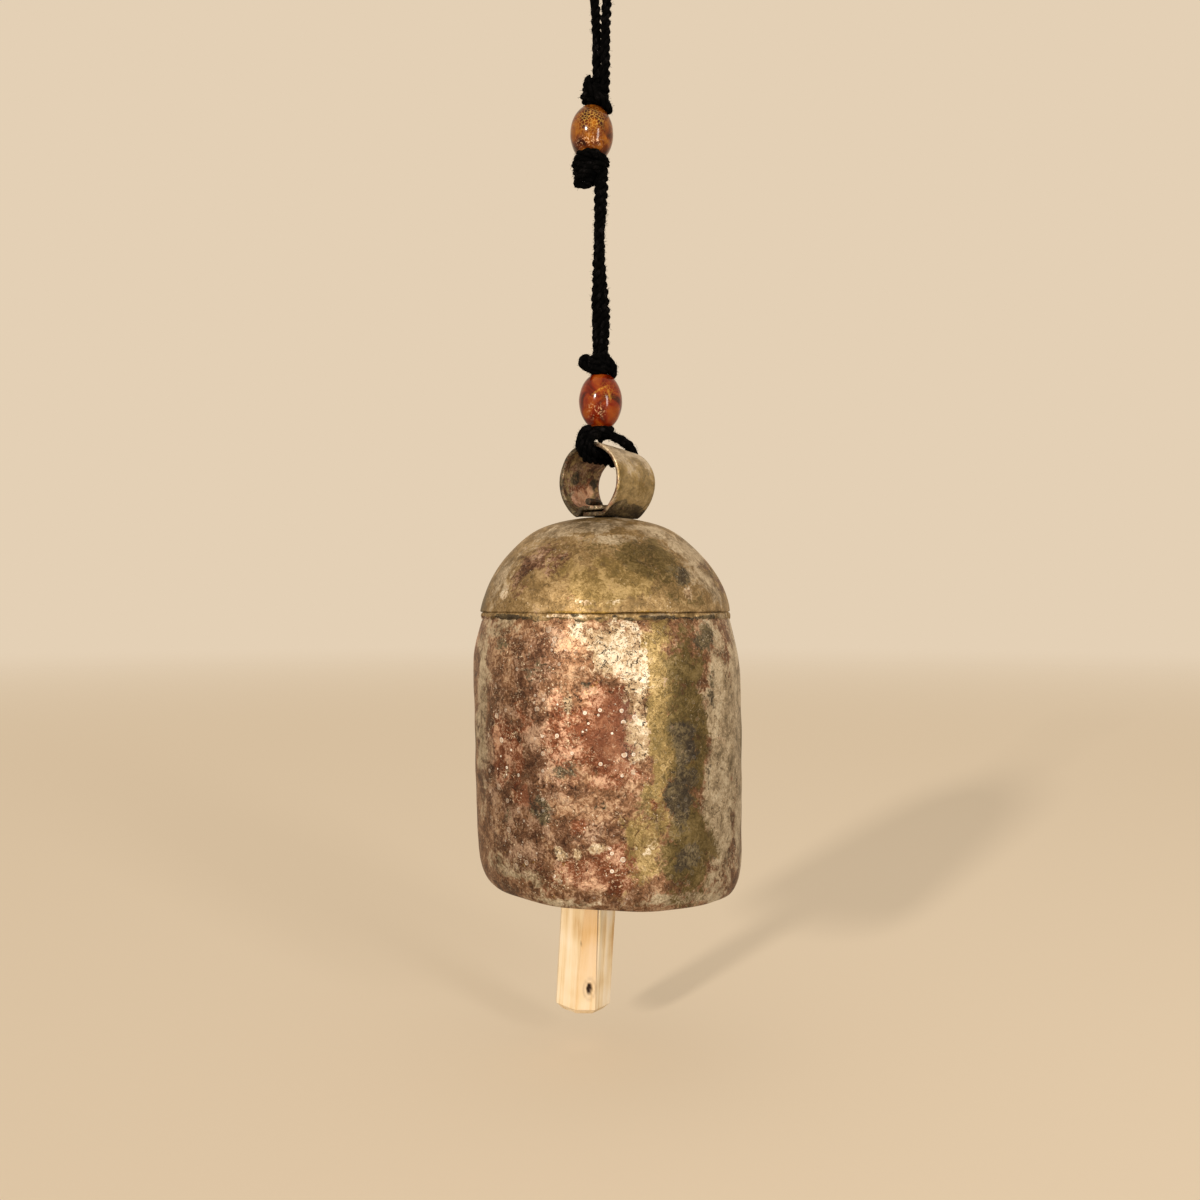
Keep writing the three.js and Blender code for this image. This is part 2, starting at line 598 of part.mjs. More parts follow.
const hung = new THREE.Group()
hung.position.z = LINK_LOW_Z
hung.rotation.y = THREE.MathUtils.degToRad(CLAPPER_LEAN_DEG)
bell.add(hung)
add(hung, 'clapper', clapper(), paleWood)

export default object
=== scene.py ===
import math
import random

import bpy
import numpy as np
from mathutils import Matrix, Vector, noise


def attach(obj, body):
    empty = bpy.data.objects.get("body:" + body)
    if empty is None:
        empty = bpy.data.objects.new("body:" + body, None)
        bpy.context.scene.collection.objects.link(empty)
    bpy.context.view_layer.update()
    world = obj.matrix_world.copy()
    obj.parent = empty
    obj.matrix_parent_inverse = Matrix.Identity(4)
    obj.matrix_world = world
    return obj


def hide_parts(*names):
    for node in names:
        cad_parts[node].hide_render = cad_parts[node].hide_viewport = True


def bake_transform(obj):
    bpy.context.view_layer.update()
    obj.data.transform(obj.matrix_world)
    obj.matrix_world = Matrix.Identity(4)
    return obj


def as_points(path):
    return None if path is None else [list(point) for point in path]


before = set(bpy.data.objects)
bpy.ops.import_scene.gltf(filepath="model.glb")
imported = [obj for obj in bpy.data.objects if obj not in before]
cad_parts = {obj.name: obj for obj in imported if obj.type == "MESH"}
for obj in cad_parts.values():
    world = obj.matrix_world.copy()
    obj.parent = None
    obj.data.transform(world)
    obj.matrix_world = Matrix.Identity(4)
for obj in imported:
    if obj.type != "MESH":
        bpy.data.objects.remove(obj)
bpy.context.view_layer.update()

# Without a seed, the stains' edges would bend another way in each run
noise.seed_set(1)

MM = 0.001

# The camera looks level at the bell from this far round its front
LOOK = math.radians(38)
TOWARDS_CAMERA = Vector((math.sin(LOOK), -math.cos(LOOK), 0))
RIGHT = Vector((math.cos(LOOK), math.sin(LOOK), 0))
CAMERA_HEIGHT, CAMERA_DISTANCE, CAMERA_OFF_AXIS = -0.1896, 0.325, 0.00206
FLOOR_HEIGHT = -0.318

# Sizes that repeat the source's, in millimetres
SEAT = 0.3
CORD_DIAMETER = 2.5
LOOP_LENGTH = 20
LOOP_HALF_WIDTH = 4.3
LOOP_FOOT_HALF_WIDTH = 2.15
STRAND_HALF_SPACING = 1.43
STRAND_TOP_Z = -20.3
STRAND_LOW_Z = -41.6
BEAD_DIAMETER = 12.3
BEAD_OVAL_LENGTH = 16.4
BEAD_BORE_DIAMETER = 4.8
BEAD_HALF_LENGTH = 7.231
UPPER_BEAD = (-3.4, 0, -56.6)
LOWER_BEAD = (-0.2, 0, -133.3)
ROPE_X = -0.4
ROPE_TOP_Z = -72.9
ROPE_BOTTOM_Z = -120.2
HITCH_PIVOT_Z = -141.863
BELL_X = 2.2
STRAP_OUTER_DIAMETER = 21.4
STRAP_RADIUS = STRAP_OUTER_DIAMETER / 2
STRAP_WIDTH = 17
STRAP_THICKNESS = 1.2
STRAP_CENTRE_Z = -156.4
STRAP_SEAT_DROP = 9.6
CAP_APEX_Z = -166.3
CAP_LIP_Z = -192.9
CAP_RADIUS = 34.9
CAP_HEIGHT = 26.6
CAP_WALL = 1.3
CAP_ROUNDNESS = 2.3
CAP_SHOULDER = 1.6
NECK_LAP = 6.5
SHELL_SHOULDER_RADIUS = 34.3
SHELL_RADIUS = 37.5
SHELL_WAIST_RADIUS = 36.8
SHELL_RIM_RADIUS = 34.4
SHELL_WALL = 1.4
SHELL_SHOULDER_HEIGHT = 22
SHELL_RIM_HEIGHT = 11
RIM_Z = -268.3
RIM_DIP = 1.3
CLAPPER_HOLE_Z = -185.9
CLAPPER_TOP_ABOVE_HOLE = 4.2
CLAPPER_LENGTH = 125
CLAPPER_SIDE = 12.9
CLAPPER_BEVEL = 2
CLAPPER_FOOT_LENGTH = 38
CLAPPER_FOOT_BEVEL = 4
CLAPPER_END_HEIGHT = 1.6
CLAPPER_END_SIDE = 10.2
CLAPPER_TONGUE_THICKNESS = 8
CLAPPER_TONGUE_HEIGHT = 13
CLAPPER_HOLE_RADIUS = 1.35
CLAPPER_LEAN_DEG = 4.3

# The rest in millimetres too: what the photographed bell has and the source leaves plain
STRAP_FAR_DROP = 1.4
LEAN_AT_LIP, LEAN_AT_RIM, LEAN_AT_APEX = -0.45, 1.05, -0.95
FLAT_SPACING_DEG, FLAT_DEPTH, FLAT_HEIGHT = 30, 0.55, 14
SEAM_RADIUS, SEAM_BULGE = 34.1, 0.6
KNOT_HOLE = (0.9, -113.2)

# Kinds of node and settings that come up often
MATH = "ShaderNodeMath"
VECTOR_MATH = "ShaderNodeVectorMath"
MAP_RANGE = "ShaderNodeMapRange"
NOISE = "ShaderNodeTexNoise"
SMOOTH = {"interpolation_type": "SMOOTHSTEP"}
COLOURS = {"data_type": "RGBA"}


# Helpers

def linear(code):
    """An sRGB hex colour as the linear colour that a node takes."""
    channels = [int(code[i:i + 2], 16) / 255 for i in (1, 3, 5)]
    return tuple(c / 12.92 if c <= 0.04045 else ((c + 0.055) / 1.055) ** 2.4 for c in channels) + (1.0,)


def add(tree, kind, settings=None, values=None, stops=None):
    """Adds one node with its settings and links. settings go by name, or are just the operation. values go by their
    input's name or number, or in the inputs' order. Each is a plain value, a hex colour, another node's output, or a
    node, which stands for its first output in use."""
    made = tree.nodes.new(kind)
    for name, value in ({"operation": settings} if isinstance(settings, str) else settings or {}).items():
        setattr(made, name, value)
    for name, value in (values.items() if isinstance(values, dict) else enumerate(values or [])):
        if isinstance(value, bpy.types.Node):
            value = next(output for output in value.outputs if output.enabled)
        if isinstance(value, bpy.types.NodeSocket):
            tree.links.new(value, made.inputs[name])
        else:
            coded = isinstance(value, str) and value.startswith("#")
            made.inputs[name].default_value = linear(value) if coded else value
    for i, (place, colour) in enumerate(stops or []):
        marks = made.color_ramp.elements
        mark = marks[i] if i < len(marks) else marks.new(place)
        mark.position = place
        mark.color = linear(colour) if isinstance(colour, str) else (colour, colour, colour, 1)
    return made


def new_material(name):
    """An empty node material and the object's own coordinates in millimetres."""
    material = bpy.data.materials.new(name)
    material.use_nodes = True
    tree = material.node_tree
    tree.nodes.clear()
    own = add(tree, "ShaderNodeTexCoord")
    scale = (1 / MM, 1 / MM, 1 / MM)
    return material, tree, add(tree, "ShaderNodeMapping", values={"Vector": own.outputs["Object"], "Scale": scale})


def placed(name, data):
    """A new object of the scene."""
    made = bpy.data.objects.new(name, data)
    bpy.context.scene.collection.objects.link(made)
    return made


def plain_mesh(made):
    """The mesh that an object's modifiers make of it."""
    seen = bpy.context.evaluated_depsgraph_get()
    seen.update()
    return bpy.data.meshes.new_from_object(made.evaluated_get(seen))


def piece(name, points, faces, material, smooth=True):
    """A mesh object at the origin from points in millimetres."""
    mesh = bpy.data.meshes.new(name)
    mesh.from_pydata((np.asarray(points, float) * MM).tolist(), [], faces)
    mesh.polygons.foreach_set("use_smooth", [smooth] * len(mesh.polygons))
    mesh.materials.append(material)
    mesh.validate()
    return placed(name, mesh)


def store(made, name, values):
    """Keeps one number for each point of a piece, which its material reads by name."""
    attribute = made.data.attributes.new(name, "FLOAT", "POINT")
    attribute.data.foreach_set("value", np.asarray(values, np.float32))


def smooth_line(points, step):
    """Points along a smooth line through the given ones, about a step apart."""
    p = [Vector(q) for q in points]
    p = [2 * p[0] - p[1], *p, 2 * p[-1] - p[-2]]
    line = []
    for a, b, c, d in zip(p, p[1:], p[2:], p[3:]):
        t = [0.0]
        for u, v in ((a, b), (b, c), (c, d)):
            t.append(t[-1] + max((v - u).length, 1e-6) ** 0.5)
        count = max(1, round((c - b).length / step))
        for k in range(count):
            s = t[1] + (t[2] - t[1]) * k / count
            sides = enumerate(((a, b), (b, c), (c, d)))
            first = [u.lerp(v, (s - t[i]) / (t[i + 1] - t[i])) for i, (u, v) in sides]
            second = [first[i].lerp(first[i + 1], (s - t[i]) / (t[i + 2] - t[i])) for i in (0, 1)]
            line.append(second[0].lerp(second[1], (s - t[1]) / (t[2] - t[1])))
    return [*line, p[-2]]


def metres(line):
    return [tuple(v * MM for v in q) for q in line]


def beside(middle, right, towards, up):
    """The place this far to the camera's right of a point, towards the camera and up, in millimetres."""
    return Vector(middle) + RIGHT * right + TOWARDS_CAMERA * towards + Vector((0, 0, up))


def near(value, middle, reach):
    """1 at the middle, falling smoothly to 0 a reach away."""
    share = min(1.0, abs(value - middle) / reach)
    return 1 - share * share * (3 - 2 * share)


def held(share):
    """A share kept between 0 and 1."""
    return min(1.0, max(0.0, share))


# Camera

camera_data = bpy.data.cameras.new("camera")
camera_data.lens = 34.5
camera_data.sensor_width = 36
camera_data.clip_start = 0.01
camera = placed("camera", camera_data)
camera.location = Vector((BELL_X * MM, 0, CAMERA_HEIGHT)) + TOWARDS_CAMERA * CAMERA_DISTANCE - RIGHT * CAMERA_OFF_AXIS
camera.rotation_euler = (math.pi / 2, 0, LOOK)
bpy.context.scene.camera = camera


# Cord material and the tree that lays yarns along a line

def black_cotton():
    """Dyed cotton yarn, laid three to a cord: matte and nearly black, so that its lumps and a few grey fibres are
    all that shows."""
    material, tree, _ = new_material("dyed_cotton_yarn")
    yarn = add(tree, "ShaderNodeAttribute", {"attribute_name": "yarn"})
    # Fibres run round the yarn in a steep twist. One real fibre is too fine to show, so each streak is 0.1 mm wide.
    streaks = add(tree, "ShaderNodeMapping", values={"Vector": yarn.outputs["Vector"], "Scale": (1, 1, 0.16)})
    fibre = add(tree, NOISE, values={"Vector": streaks, "Scale": 5.5, "Detail": 3, "Roughness": 0.6})
    worn = add(tree, NOISE, values={"Vector": yarn.outputs["Vector"], "Scale": 0.35, "Detail": 2})
    both = add(tree, MATH, "MULTIPLY", [fibre, worn])
    colour = add(tree, "ShaderNodeValToRGB", values={"Fac": both},
                 stops=[(0.22, "#020202"), (0.31, "#070606"), (0.42, "#242122")])
    bump = add(tree, "ShaderNodeBump", values={"Height": fibre, "Strength": 0.8, "Distance": 0.15 * MM})
    shader = add(tree, "ShaderNodeBsdfPrincipled", values={
        "Base Color": colour, "Normal": bump, "Roughness": 0.9, "Specular IOR Level": 0.04})
    add(tree, "ShaderNodeOutputMaterial", values={"Surface": shader})
    return material


def laid_cord_tree():
    """Turns lines into laid cords: lumpy yarns wound round each line, with loose lint on them."""
    tree = bpy.data.node_groups.new("laid_cord", "GeometryNodeTree")
    tree.interface.new_socket(name="Geometry", in_out="INPUT", socket_type="NodeSocketGeometry")
    for name, kind in (("Yarns", "Int"), ("Yarn radius", "Float"), ("Lay radius", "Float"), ("Lay length", "Float"),
                       ("Lump length", "Float"), ("Lump height", "Float"), ("Wander", "Float"),
                       ("Lint per square metre", "Float"), ("Lint length", "Float"), ("Seed", "Int"),
                       ("Material", "Material")):
        tree.interface.new_socket(name=name, in_out="INPUT", socket_type="NodeSocket" + kind)
    tree.interface.new_socket(name="Geometry", in_out="OUTPUT", socket_type="NodeSocketGeometry")
    given = add(tree, "NodeGroupInput").outputs
    tau = 2 * math.pi

    fine = add(tree, "GeometryNodeResampleCurve", {"mode": "LENGTH"}, {"Curve": given["Geometry"], "Length": 0.3 * MM})
    copies = add(tree, "GeometryNodeDuplicateElements", {"domain": "SPLINE"},
                 {"Geometry": fine, "Amount": given["Yarns"]})
    along = add(tree, "GeometryNodeSplineParameter").outputs["Length"]
    share = add(tree, MATH, "DIVIDE", [copies.outputs["Duplicate Index"], given["Yarns"]])
    turns = add(tree, MATH, "DIVIDE", [along, given["Lay length"]])
    total = add(tree, MATH, "ADD", [share, turns])
    angle = add(tree, MATH, "MULTIPLY", [total, tau])
    cosine = add(tree, MATH, "COSINE", [angle])
    sine = add(tree, MATH, "SINE", [angle])
    normal = add(tree, "GeometryNodeInputNormal")
    tangent = add(tree, "GeometryNodeInputTangent")
    side = add(tree, VECTOR_MATH, "CROSS_PRODUCT", [tangent, normal])
    part_a = add(tree, VECTOR_MATH, "SCALE", {0: normal, "Scale": cosine})
    part_b = add(tree, VECTOR_MATH, "SCALE", {0: side, "Scale": sine})
    outwards = add(tree, VECTOR_MATH, "ADD", [part_a, part_b])
    offset = add(tree, VECTOR_MATH, "SCALE", {0: outwards, "Scale": given["Lay radius"]})
    # Handmade yarn is uneven: it wanders a little off its lay, and it swells where the lay presses it up
    uneven = add(tree, NOISE, values={"Scale": 420.0, "Detail": 1.0})
    centred = add(tree, VECTOR_MATH, "SUBTRACT", [uneven.outputs["Color"], (0.5, 0.5, 0.5)])
    loose = add(tree, VECTOR_MATH, "SCALE", {0: centred, "Scale": given["Wander"]})
    moved = add(tree, VECTOR_MATH, "ADD", [offset, loose])
    wound = add(tree, "GeometryNodeSetPosition", values={"Geometry": copies, "Offset": moved})
    lumps = add(tree, MATH, "DIVIDE", [along, given["Lump length"]])
    lump_turns = add(tree, MATH, "ADD", [lumps, share])
    lump_angle = add(tree, MATH, "MULTIPLY", [lump_turns, tau])
    wave = add(tree, MATH, "SINE", [lump_angle])
    swell = add(tree, MATH, "MULTIPLY_ADD", [wave, given["Lump height"], 1.0])
    ring = add(tree, "GeometryNodeCurvePrimitiveCircle", values={"Resolution": 8, "Radius": given["Yarn radius"]})
    round_it = add(tree, "GeometryNodeSplineParameter")
    kept = add(tree, "GeometryNodeCaptureAttribute")
    kept_round = add(tree, "GeometryNodeCaptureAttribute")
    for keeper, shape, fields in ((kept, wound.outputs[0], {"Along": along, "Swell": swell.outputs[0]}),
                                  (kept_round, ring.outputs["Curve"], {"Round": round_it.outputs["Factor"]})):
        tree.links.new(shape, keeper.inputs["Geometry"])
        for name, field in fields.items():
            keeper.capture_items.new("FLOAT", name)
            tree.links.new(field, keeper.inputs[name])
    yarns = add(tree, "GeometryNodeCurveToMesh",
                values={"Curve": kept.outputs["Geometry"], "Profile Curve": kept_round.outputs["Geometry"],
                        "Scale": kept.outputs["Swell"], "Fill Caps": True})

    # The place on the yarn, as a turn round it and millimetres along it, twisted once in 2.6 mm
    twist = add(tree, MATH, "DIVIDE", [kept.outputs["Along"], 2.6 * MM])
    round_and_twist = add(tree, MATH, "ADD", [kept_round.outputs["Round"], twist])
    at = add(tree, MATH, "MULTIPLY", [round_and_twist, tau])
    across = add(tree, MATH, "COSINE", [at])
    deep = add(tree, MATH, "SINE", [at])
    far = add(tree, MATH, "DIVIDE", [kept.outputs["Along"], MM])
    place = add(tree, "ShaderNodeCombineXYZ", values={"X": across, "Y": deep, "Z": far})
    marked = add(tree, "GeometryNodeStoreNamedAttribute", {"data_type": "FLOAT_VECTOR", "domain": "POINT"},
                 {"Geometry": yarns, "Name": "yarn", "Value": place})

    # Lint: short bent hairs that stand off the yarns
    spots = add(tree, "GeometryNodeDistributePointsOnFaces",
                values={"Mesh": marked, "Density": given["Lint per square metre"], "Seed": given["Seed"]})
    hair = add(tree, "GeometryNodeCurveQuadraticBezier",
               values={"Resolution": 3, "Start": (0, 0, 0), "Middle": (0.1, 0, 0.55), "End": (0.75, 0.1, 0.8)})
    thread = add(tree, "GeometryNodeCurvePrimitiveCircle", values={"Resolution": 3, "Radius": 0.045})
    strand = add(tree, "GeometryNodeCurveToMesh", values={"Curve": hair, "Profile Curve": thread.outputs["Curve"]})
    spin = add(tree, "FunctionNodeRandomValue", {"data_type": "FLOAT_VECTOR"},
               {0: (-0.9, -0.9, 0), 1: (0.9, 0.9, tau), "Seed": given["Seed"]})
    turned_hair = add(tree, "FunctionNodeRotateEuler", {"rotation_type": "EULER", "space": "LOCAL"},
                      {"Rotation": spots.outputs["Rotation"], "Rotate By": spin})
    length = add(tree, "FunctionNodeRandomValue", {"data_type": "FLOAT"}, {2: 0.45, 3: 1.0, "Seed": given["Seed"]})
    sized = add(tree, MATH, "MULTIPLY", [length, given["Lint length"]])
    lint = add(tree, "GeometryNodeInstanceOnPoints",
               values={"Points": spots, "Instance": strand, "Rotation": turned_hair, "Scale": sized})
    whole = add(tree, "GeometryNodeJoinGeometry")
    for part in (marked, lint):
        tree.links.new(part.outputs[0], whole.inputs[0])
    real = add(tree, "GeometryNodeRealizeInstances", values={"Geometry": whole})
    soft = add(tree, "GeometryNodeSetShadeSmooth", values={"Geometry": real})
    dressed = add(tree, "GeometryNodeSetMaterial", values={"Geometry": soft, "Material": given["Material"]})
    add(tree, "NodeGroupOutput", values={"Geometry": dressed})
    return tree


# Three round yarns that touch fill a circle this many times their own width
YARNS_ACROSS = 2.1547
LAID_CORD = laid_cord_tree()
COTTON = black_cotton()


def laid_cord(name, lines, diameter=CORD_DIAMETER, lay=7.2, wander=0.55, lint=0.7, seed=1):
    """One mesh of three-yarn cords that follow the lines, given in millimetres."""
    curve = bpy.data.curves.new(name, "CURVE")
    curve.dimensions = "3D"
    for line in lines:
        spline = curve.splines.new("POLY")
        spline.points.add(len(line) - 1)
        spline.points.foreach_set("co", [v for q in metres(line) for v in (*q, 1)])
    route = placed(name + "_route", curve)
    winding = route.modifiers.new("winding", "NODES")
    winding.node_group = LAID_CORD
    yarn_radius = diameter / 2 / YARNS_ACROSS
    sizes = {"Yarns": 3, "Yarn radius": yarn_radius * 1.04 * MM, "Lay radius": yarn_radius * 1.14 * MM,
             "Lay length": lay * MM, "Lump length": lay / 3 * MM, "Lump height": 0.14, "Wander": wander * MM,
             "Lint per square metre": lint / MM ** 2, "Lint length": 0.9 * MM, "Seed": seed, "Material": COTTON}
    for item in LAID_CORD.interface.items_tree:
        if item.in_out == "INPUT" and item.name in sizes:
            winding[item.identifier] = sizes[item.name]
    mesh = plain_mesh(route)
    mesh.name = name
    made = placed(name, mesh)
    bpy.data.objects.remove(route)
    bpy.data.curves.remove(curve)
    return made


# Cords: the same routes as in the source

def hanging_cord():
    """The upper cord: out of the upper knot, up one side, through the hanging loop and down again."""
    half = [(STRAND_HALF_SPACING * 0.9, 0, STRAND_LOW_Z - 4), (STRAND_HALF_SPACING, 0, STRAND_LOW_Z),
            (STRAND_HALF_SPACING + 0.12, 0, -28.8), (LOOP_FOOT_HALF_WIDTH, 0, STRAND_TOP_Z),
            (LOOP_HALF_WIDTH * 0.72, 0, -LOOP_LENGTH * 0.7), (LOOP_HALF_WIDTH, 0, -LOOP_LENGTH * 0.32),
            (LOOP_HALF_WIDTH * 0.72, 0, -LOOP_LENGTH * 0.02)]
    line = smooth_line([*half, (0, 0, CORD_DIAMETER / 2), *[(-x, y, z) for x, y, z in reversed(half)]], 0.5)
    made = laid_cord("hanging_cord", [line], diameter=2.85, seed=3)
    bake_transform(made)
    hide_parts("hanging_loop", "cord_strand_left", "cord_strand_right")
    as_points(metres(line))


def wraps(low, high, low_radius, high_radius, turns, start, tilt):
    """A line that winds round from one middle point to another, its radius changing on the way."""
    line = []
    count = int(turns * 30)
    for k in range(count + 1):
        share = k / count
        angle = math.radians(start) + 2 * math.pi * turns * share
        tucked = min(1.0, share * turns * 3.2, (1 - share) * turns * 3.2)
        radius = (low_radius + (high_radius - low_radius) * share) * (0.35 + 0.65 * math.sin(tucked * math.pi / 2))
        middle = Vector(low).lerp(Vector(high), share)
        line.append(beside(middle, radius * math.cos(angle), -radius * math.sin(angle), tilt * math.cos(angle)))
    return line


def strand(bead, places, step=0.5):
    """A smooth line through places beside a bead's middle."""
    return smooth_line([beside(bead, *p) for p in places], step)


def filling(bead, right, radius, low, rise, count):
    """A tight coil that fills a knot's middle."""
    return strand(bead, [(right + radius * math.cos(k), radius * math.sin(k), low + rise * k) for k in range(count)])


def knot(name, body, node, lines, diameter, seed):
    """A knot of the same cord, in place of the source's plain one."""
    made = laid_cord(name, lines, diameter=diameter, lay=6.6, wander=0.75, lint=1.0, seed=seed)
    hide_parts(node)
    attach(made, body)


def upper_knots():
    """The knots above and below the upper bead, with the cord in its bore."""
    x, _, z = UPPER_BEAD
    coils = wraps(beside(UPPER_BEAD, 0.95, 0, 8.1), beside(UPPER_BEAD, 0.95, 0, 13.9), 3.35, 2.1, 3.1, 200, -0.4)
    over = strand(UPPER_BEAD, [
        (-0.4, 2.0, 15.0), (-1.3, 3.3, 12.6), (0.6, 4.3, 10.2), (3.1, 3.6, 8.3), (4.7, 1.0, 7.1), (4.5, -1.6, 7.4)])
    core = smooth_line([(x, 0, z + 5), (x + 1, 0, z + 10), (0, 0, STRAND_LOW_Z + 1.6)], 0.5)
    knot("upper_knot_top_cord", "cord_strands", "upper_knot_top",
         [coils, over, core, filling(UPPER_BEAD, 0.9, 1.6, 8.4, 0.62, 10)], 2.6, 5)

    under = wraps(beside(UPPER_BEAD, -0.3, 0, -13.0), beside(UPPER_BEAD, -0.7, 0, -8.1), 3.5, 3.95, 2.9, 20, 0.3)
    crossing = strand(UPPER_BEAD, [
        (4.0, 1.4, -8.8), (2.4, 4.0, -10.0), (-1.0, 4.5, -11.8), (-3.4, 3.0, -13.2), (-3.6, 1.0, -14.0)])
    brow = strand(UPPER_BEAD, [
        (-4.3, 1.0, -8.7), (-3.5, 3.7, -7.6), (-0.6, 5.1, -7.1), (2.3, 4.4, -7.9), (4.0, 1.6, -9.0)])
    tail = strand(UPPER_BEAD, [
        (0.6, 1.6, -12.0), (-1.4, 2.3, -13.6), (-3.4, 1.8, -13.0), (-4.0, 1.4, -14.4), (-2.4, 1.3, -14.9),
        (-0.6, 1.2, -14.6)], 0.4)
    bore = [(x, 0, z + 6 - k) for k in range(13)]
    through = smooth_line([(x, 0, z - 6), (x * 0.8, 0, z - 10), (ROPE_X, 0, -69.5), (ROPE_X, 0, -72.4)], 0.5)
    knot("upper_knot_bottom_cord", "cord_strands", "upper_knot_bottom",
         [under, crossing, brow, tail, bore, through, filling(UPPER_BEAD, -0.4, 2.0, -8.2, -0.6, 9)], 2.6, 7)


def rope():
    """Two lumpy cords that turn half round each other between the beads, side by side where the rope is widest."""
    line = [(ROPE_X, 0, z / 2) for z in range(int(2 * ROPE_BOTTOM_Z) - 3, int(2 * ROPE_TOP_Z) + 14)][::-1]
    crossing_z, quarter_turn = -86.3, 22.9
    pair = []
    for side in (1, -1):
        lay = []
        for x, y, z in line:
            turn = math.radians(90 + (z - crossing_z) / quarter_turn * 90)
            apart = 0.6 + 0.5 * near(z, -110, 18)
            lay.append(beside((x, y, z), apart * side * math.cos(turn) + 0.25 * math.sin(z / 6.5),
                              -apart * side * math.sin(turn), 0))
        pair.append(lay)
    made = laid_cord("braided_rope", pair, diameter=3.15, lay=7.0, wander=0.8, lint=1.1, seed=11)
    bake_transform(made)
    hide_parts("rope")
    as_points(metres(line))


def lower_knots():
    """The knots above and below the lower bead, with the cord in its bore."""
    coils = wraps(beside(LOWER_BEAD, 0, 0, 8.1), beside(LOWER_BEAD, -0.7, 0, 12.4), 3.2, 2.25, 2.5, 160, 0.2)
    over = strand(LOWER_BEAD, [(1.2, 2.0, 12.8), (2.9, 2.6, 10.4), (3.6, 1.4, 8.2), (3.2, -1.4, 7.8)])
    tail = strand(LOWER_BEAD, [
        (-1.2, 1.6, 9.0), (-3.6, 2.0, 9.2), (-5.2, 1.8, 10.4), (-4.9, 1.7, 11.7), (-3.6, 1.5, 11.8),
        (-2.8, 1.4, 10.8)], 0.4)
    bore = [beside(LOWER_BEAD, 0, 0, 12 - k) for k in range(17)]
    knot("lower_knot_top_cord", "rope", "lower_knot_top",
         [coils, over, tail, bore, filling(LOWER_BEAD, -0.3, 1.5, 8.2, 0.55, 9)], 2.5, 13)

    under = wraps(beside(LOWER_BEAD, 0, 0, -9.7), beside(LOWER_BEAD, -0.2, 0, -7.9), 2.5, 3.1, 1.9, 190, 0.2)
    stem = strand(LOWER_BEAD, [
        (0, 0, -6.2), (0.8, 0.8, -8.0), (-0.8, 0.6, -9.0), (0, -0.6, -10.0), (0.2, 0.6, -10.8)])
    knot("hitch_knot_cord", "hitch_knot", "hitch_knot", [under, stem], 2.5, 17)


def hitch():
    """The cord's end: out of the knot, over the strap's near edge, under its top and up behind it, three strands
    side by side and one on top."""
    inside = STRAP_RADIUS - STRAP_THICKNESS
    edge = STRAP_WIDTH / 2
    thick = 2.6
    radius = thick / 2

    def level(x, away):
        return STRAP_CENTRE_Z + math.sqrt(away ** 2 - (x - BELL_X) ** 2)

    strands = []
    for spread, layer in ((-1.75, 0), (1.75, 0), (0.2, 0), (-0.4, 1)):
        near_x, far_x = BELL_X + spread, BELL_X + 1.0 + 0.16 * spread
        down = radius + SEAT + layer * 1.7
        over_z, under_z = level(near_x, STRAP_RADIUS) + down, level(near_x, inside) - down
        far_over = level(far_x, STRAP_RADIUS) + radius + SEAT - STRAP_FAR_DROP
        far_under = level(far_x, inside) - down - STRAP_FAR_DROP
        strands.append(smooth_line([
            (0.3 * spread - 0.2, -1.4, HITCH_PIVOT_Z - 0.5),
            (0.7 * spread + 0.5, -4.4, HITCH_PIVOT_Z - 1.5 + 0.3 * layer),
            (near_x, -edge - 0.4, over_z), (near_x, -edge - down - 0.15, (over_z + under_z) / 2),
            (near_x, -edge - 0.6, under_z), (near_x, -edge + 2, under_z - 0.2), (near_x, 0, under_z - 0.2),
            (far_x, edge - 2, far_under + 0.3), (far_x, edge + 0.6, far_under),
            (far_x, edge + down + 0.15, (far_over + far_under) / 2), (far_x, edge + 0.7, far_over),
            (far_x - 0.4, 5.9, HITCH_PIVOT_Z - 2.1), (1.9, 2.9, HITCH_PIVOT_Z - 1.1),
            (0.7, 1.2, HITCH_PIVOT_Z - 0.8)], 0.4))
    made = laid_cord("strap_hitch_cord", strands, diameter=thick, wander=0.75, lint=1.1, seed=19)
    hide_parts("strap_hitch")
    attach(made, "strap_hitch")
    middle = strands[2]
    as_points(metres(middle))


hanging_cord()
upper_knots()
rope()
lower_knots()
hitch()


# Beads

